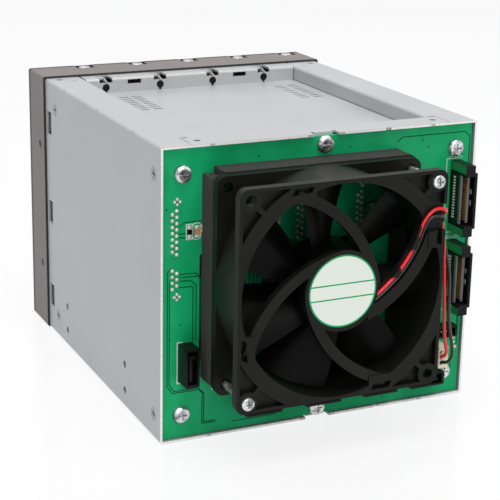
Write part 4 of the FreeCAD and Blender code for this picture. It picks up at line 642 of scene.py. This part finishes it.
# ------------------------------------------------------------------ contacts of the sockets
CONTACT_PITCH = 1.27
gold, tails, reflection_plates, shaded_flanks, rims = [], [], [], [], []
for node in ("power_connector_upper", "power_connector_lower"):
    low, high = millimetres(node)
    x0, x1 = low[0] + 1.2, high[0]
    z0, z1 = low[2], high[2]
    rear = high[1]
    first = z1 - 6.6
    contact = block((x0 + 2.2, FACE + 0.4, -0.42), (x0 + 2.28, rear - 2.7, 0.42))
    gold.append(row_of(contact, 15, (0, 0, first), (0, 0, -CONTACT_PITCH), GOLD))
    tail = block((x1 - 0.5, FACE + 2.2, -0.34), (x1 - 0.15, FACE + 3.8, 0.34), 0.12)
    tails.append(row_of(tail, 15, (0, 0, first), (0, 0, -CONTACT_PITCH), TIN))
    for a, b in ((z1 - 3.55, z1 - 0.05), (z0 + 0.05, z0 + 3.55)):
        # painted reflection: thin plates in the board's green on each socket's ends
        reflection_plates.append(block((x1, FACE + 0.05, a), (x1 + 0.05, rear - 0.05, b)))
    # painted shade: a dark sheet tinted with the board's reflected green fills each socket's side recess
    shaded_flanks.append(block((x1 - 0.46, FACE + 1.05, z0 + 3.85), (x1 - 0.42, FACE + 6.6, z1 - 3.85)))
    rims.append(block((x1 - 1.2, FACE + 6.6, z0 + 4.9), (x1 - 0.42, FACE + 8.03, z1 - 4.9), 0.08))
    rims.append(block((x0 + 0.92, rear - 2.72, z0 + 5.62), (x0 + 2.19, rear - 2.57, z1 - 5.62), 0.04))
pad = block((upright_high[0] - 3.16, FACE + 0.5, -0.3), (upright_high[0] - 3.1, upright_high[1] - 0.7, 0.3))
gold.append(row_of(pad, 7, (0, 0, upright_low[2] + 4.4), (0, 0, CONTACT_PITCH), GOLD))
lower_low, lower_high = millimetres("data_connectors_lower")
for centre in (28.5, 0.5, -27.5, -51.0):
    pad = block((-0.3, FACE + 0.5, lower_low[2] + 3.1), (0.3, lower_high[1] - 0.7, lower_low[2] + 3.16))
    gold.append(row_of(pad, 7, (centre - 4.0, 0, 0), (CONTACT_PITCH, 0, 0), GOLD))
piece("socket_contacts", gold, GOLD)
piece("power_socket_tails", tails, TIN)
piece("power_socket_end_reflections", reflection_plates, SOCKET_END_REFLECTION)
piece("power_socket_shaded_flanks", shaded_flanks, SOCKET_SHADE)
piece("power_socket_rims", rims, RIM)

header_low, header_high = millimetres("service_header")
pin = block((-0.3, FACE + 1.5, -0.3), (0.3, header_high[1] - 0.6, 0.3), 0.1)
mid = (header_low[2] + header_high[2]) / 2 + 0.2
piece("service_header_pins", [row_of(pin, 3, (header_low[0] + 2.6, 0, mid), (2.5, 0, 0), GOLD)], GOLD)


# ------------------------------------------------------------------ sheared rear edges of the sheets, painted near white as a highlight
panel_high = millimetres("side_panel_right")[1]
edge_low, edge_high = panel_high[1] - 0.02, panel_high[1] + 0.04
# painted highlight: thin near-white strips along the sheets' rear edges
edges = []
for middle in (-72.5, 72.5):
    edges.append(block((middle - 0.48, edge_low, 0.3), (middle + 0.48, edge_high, 125.7)))
for x0, x1 in ((-72.0, -52.0), (-50.0, -30.4), (-27.8, -8.6), (8.6, 50.0), (52.0, 72.0)):
    for z in (0.5, 125.5):
        edges.append(block((x0, edge_low, z - 0.42), (x1, edge_high, z + 0.42)))
piece("sheared_rear_edge_highlights", edges, EDGE_HIGHLIGHT)

# ------------------------------------------------------------------ painted shade behind the keyholes of the pans: black discs and stems shaped as clips
HOOK_OFFSET = 3.4           # hook beside a divider's web
DIVIDER_HALF = 0.4          # half a divider's sheet
FRONT_STRIP = 8.0           # raised strip ahead of the pan
KEYHOLE_DROP = 4.4
PANEL_LOW, PANEL_HIGH = millimetres("top_panel")
PAN_WALL = PANEL_LOW[1] + FRONT_STRIP
KEYHOLE_Z = PANEL_HIGH[2] - KEYHOLE_DROP
KEYHOLE_STEM = 2.55
for name, flip in (("upper_keyhole_shades", 1), ("lower_keyhole_shades", -1)):
    keyhole_shades = []
    for n in (1, 2, 3, 4):
        low = millimetres("bay_divider_%d" % n)[0]
        x = low[0] + DIVIDER_HALF + HOOK_OFFSET
        centre = KEYHOLE_Z if flip > 0 else PANEL_HIGH[2] - KEYHOLE_Z
        # painted shade: a black disc and stem fill each keyhole, standing for the dark inside seen through it
        disc = turned([(1.34, 0.0), (1.34, 1.22), (1.8, 1.23), (1.8, 1.36), (1.6, 1.42)], 28)
        keyhole_shades.append(row_of(disc, 1, (x, PAN_WALL - 0.2, centre), (0, 0, 0), BLACK))
        a, b = sorted((centre, centre - flip * KEYHOLE_STEM))
        keyhole_shades.append(block((x - 0.55, PAN_WALL - 0.2, a), (x + 0.55, PAN_WALL + 1.2, b), 0.05))
    piece(name, keyhole_shades, BLACK)


# ------------------------------------------------------------------ foam strips
def foam_strip(name, node, cropped=0.0):
    """Die-cut foam under light squeeze: its sides swell and its cut faces are slightly uneven."""
    low, high = millimetres(node)
    size = [b - a for a, b in zip(low, high)]
    steps = [max(3, round(s / 1.1)) for s in size]
    grid = bmesh.new()
    known = {}

    def corner(i, j, k):
        if (i, j, k) not in known:
            u, v, w = i / steps[0], j / steps[1], k / steps[2]
            squeeze = 0.22 * math.cos(math.pi * (v - 0.5)) ** 0.5 if 0 < v < 1 else 0.0
            x = low[0] + 0.24 + (size[0] - 0.48) * u
            z = low[2] + 0.24 + (size[2] - 0.48) * w
            y = low[1] + size[1] * v
            x += squeeze * ((u == 1) - (u == 0))
            z += squeeze * ((w == 1) - (w == 0))
            if cropped:
                roof = high[2] - 0.24 - max(0.0, low[0] + cropped - x) * 0.6
                z = min(z, roof)
            slow = wander.noise(Vector((x, y, z)) * 0.55)
            fine = wander.noise(Vector((x + 40, y, z)) * 1.7)
            lift = 0.05 * slow + 0.03 * fine
            x += lift * ((u == 0) - (u == 1))
            z += lift * ((w == 0) - (w == 1))
            known[i, j, k] = grid.verts.new((x * MM, y * MM, z * MM))
        return known[i, j, k]

    def face(*spots):
        grid.faces.new([corner(*spot) for spot in spots])

    nx, ny, nz = steps
    for i in range(nx):
        for j in range(ny):
            for k in (0, nz):
                face((i, j, k), (i + 1, j, k), (i + 1, j + 1, k), (i, j + 1, k))
        for k in range(nz):
            for j in (0, ny):
                face((i, j, k), (i + 1, j, k), (i + 1, j, k + 1), (i, j, k + 1))
    for j in range(ny):
        for k in range(nz):
            for i in (0, nx):
                face((i, j, k), (i, j + 1, k), (i, j + 1, k + 1), (i, j, k + 1))
    bmesh.ops.recalc_face_normals(grid, faces=grid.faces)
    strip = piece(name, [as_mesh(grid)], FOAM, node)


foam_strip("top_foam_strip", "foam_gasket_top", 2.5)
foam_strip("left_foam_strip", "foam_gasket_left")
foam_strip("bottom_foam_strip", "foam_gasket_bottom")
foam_strip("right_foam_strip", "foam_gasket_right")


# ------------------------------------------------------------------ light and stage
def area_light(name, place, target, size, energy, colour="#FFFFFF"):
    data = bpy.data.lights.new(name, "AREA")
    data.shape = "RECTANGLE"
    data.size, data.size_y = size
    data.energy = energy
    data.color = linear(colour)[:3]
    lamp = bpy.data.objects.new(name, data)
    lamp.location = place
    lamp.rotation_euler = (Vector(target) - Vector(place)).to_track_quat("-Z", "Y").to_euler()
    bpy.context.scene.collection.objects.link(lamp)


def seen_rays(tree):
    """One for the rays that show the background: camera, glossy and transmission rays."""
    rays = add(tree, "ShaderNodeLightPath").outputs
    gloss = add(tree, "ShaderNodeMath", {0: rays["Is Camera Ray"], 1: rays["Is Glossy Ray"]},
                operation="MAXIMUM")
    both = add(tree, "ShaderNodeMath", {0: gloss.outputs["Value"], 1: rays["Is Transmission Ray"]},
               operation="MAXIMUM")
    return both.outputs["Value"]


def make_world():
    """Pale studio: dimmer for the light it gives than for what the camera and gloss see of it."""
    world = bpy.data.worlds.new("studio")
    bpy.context.scene.world = world
    world.use_nodes = True
    tree = world.node_tree
    tree.nodes.clear()
    out = add(tree, "ShaderNodeOutputWorld")
    lit = add(tree, "ShaderNodeBackground", {"Color": linear("#F2F4F6"), "Strength": 0.3})
    seen = add(tree, "ShaderNodeBackground", {"Color": linear("#FFFFFF"), "Strength": 1.0})
    mix = add(tree, "ShaderNodeMixShader", {0: seen_rays(tree), 1: lit.outputs[0], 2: seen.outputs[0]})
    tree.links.new(mix.outputs[0], out.inputs["Surface"])


def make_floor():
    """White glossy acrylic sheet: it stays white to the camera, and keeps a soft shadow and reflection."""
    mesh = bpy.data.meshes.new("studio_floor")
    half = 3.0
    drop = -0.0002
    mesh.from_pydata([(-half, -half, drop), (half, -half, drop), (half, half, drop), (-half, half, drop)],
                     [], [(0, 1, 2, 3)])
    floor = bpy.data.objects.new("studio_floor", mesh)
    bpy.context.scene.collection.objects.link(floor)
    mat = bpy.data.materials.new("white_acrylic")
    mat.use_nodes = True
    tree = mat.node_tree
    tree.nodes.clear()
    out = add(tree, "ShaderNodeOutputMaterial")
    white = add(tree, "ShaderNodeEmission", {"Color": linear("#FFFFFF"), "Strength": 1.0})
    matte = add(tree, "ShaderNodeBsdfDiffuse", {"Color": linear("#F4F4F4")})
    shine = add(tree, "ShaderNodeBsdfGlossy", {"Color": linear("#FFFFFF"), "Roughness": 0.18})
    gloss = add(tree, "ShaderNodeMixShader", {0: 0.3, 1: matte.outputs[0], 2: shine.outputs[0]})
    camera = add(tree, "ShaderNodeMixShader", {0: 0.16, 1: white.outputs[0], 2: gloss.outputs[0]})
    mix = add(tree, "ShaderNodeMixShader", {0: seen_rays(tree), 1: matte.outputs[0], 2: camera.outputs[0]})
    tree.links.new(mix.outputs[0], out.inputs["Surface"])
    floor.data.materials.append(mat)


make_world()
make_floor()
area_light("overhead_softbox", (0.15, 0.25, 1.5), (0, 0, 0.06), (1.3, 1.3), 24.0)
area_light("rear_fill", (0.1, 1.7, 0.7), (0, 0, 0.06), (0.9, 0.7), 8.0)
area_light("side_fill", (1.7, 0.1, 0.5), (0, 0, 0.06), (0.8, 0.8), 0.3)
bpy.context.scene.view_settings.view_transform = "Standard"
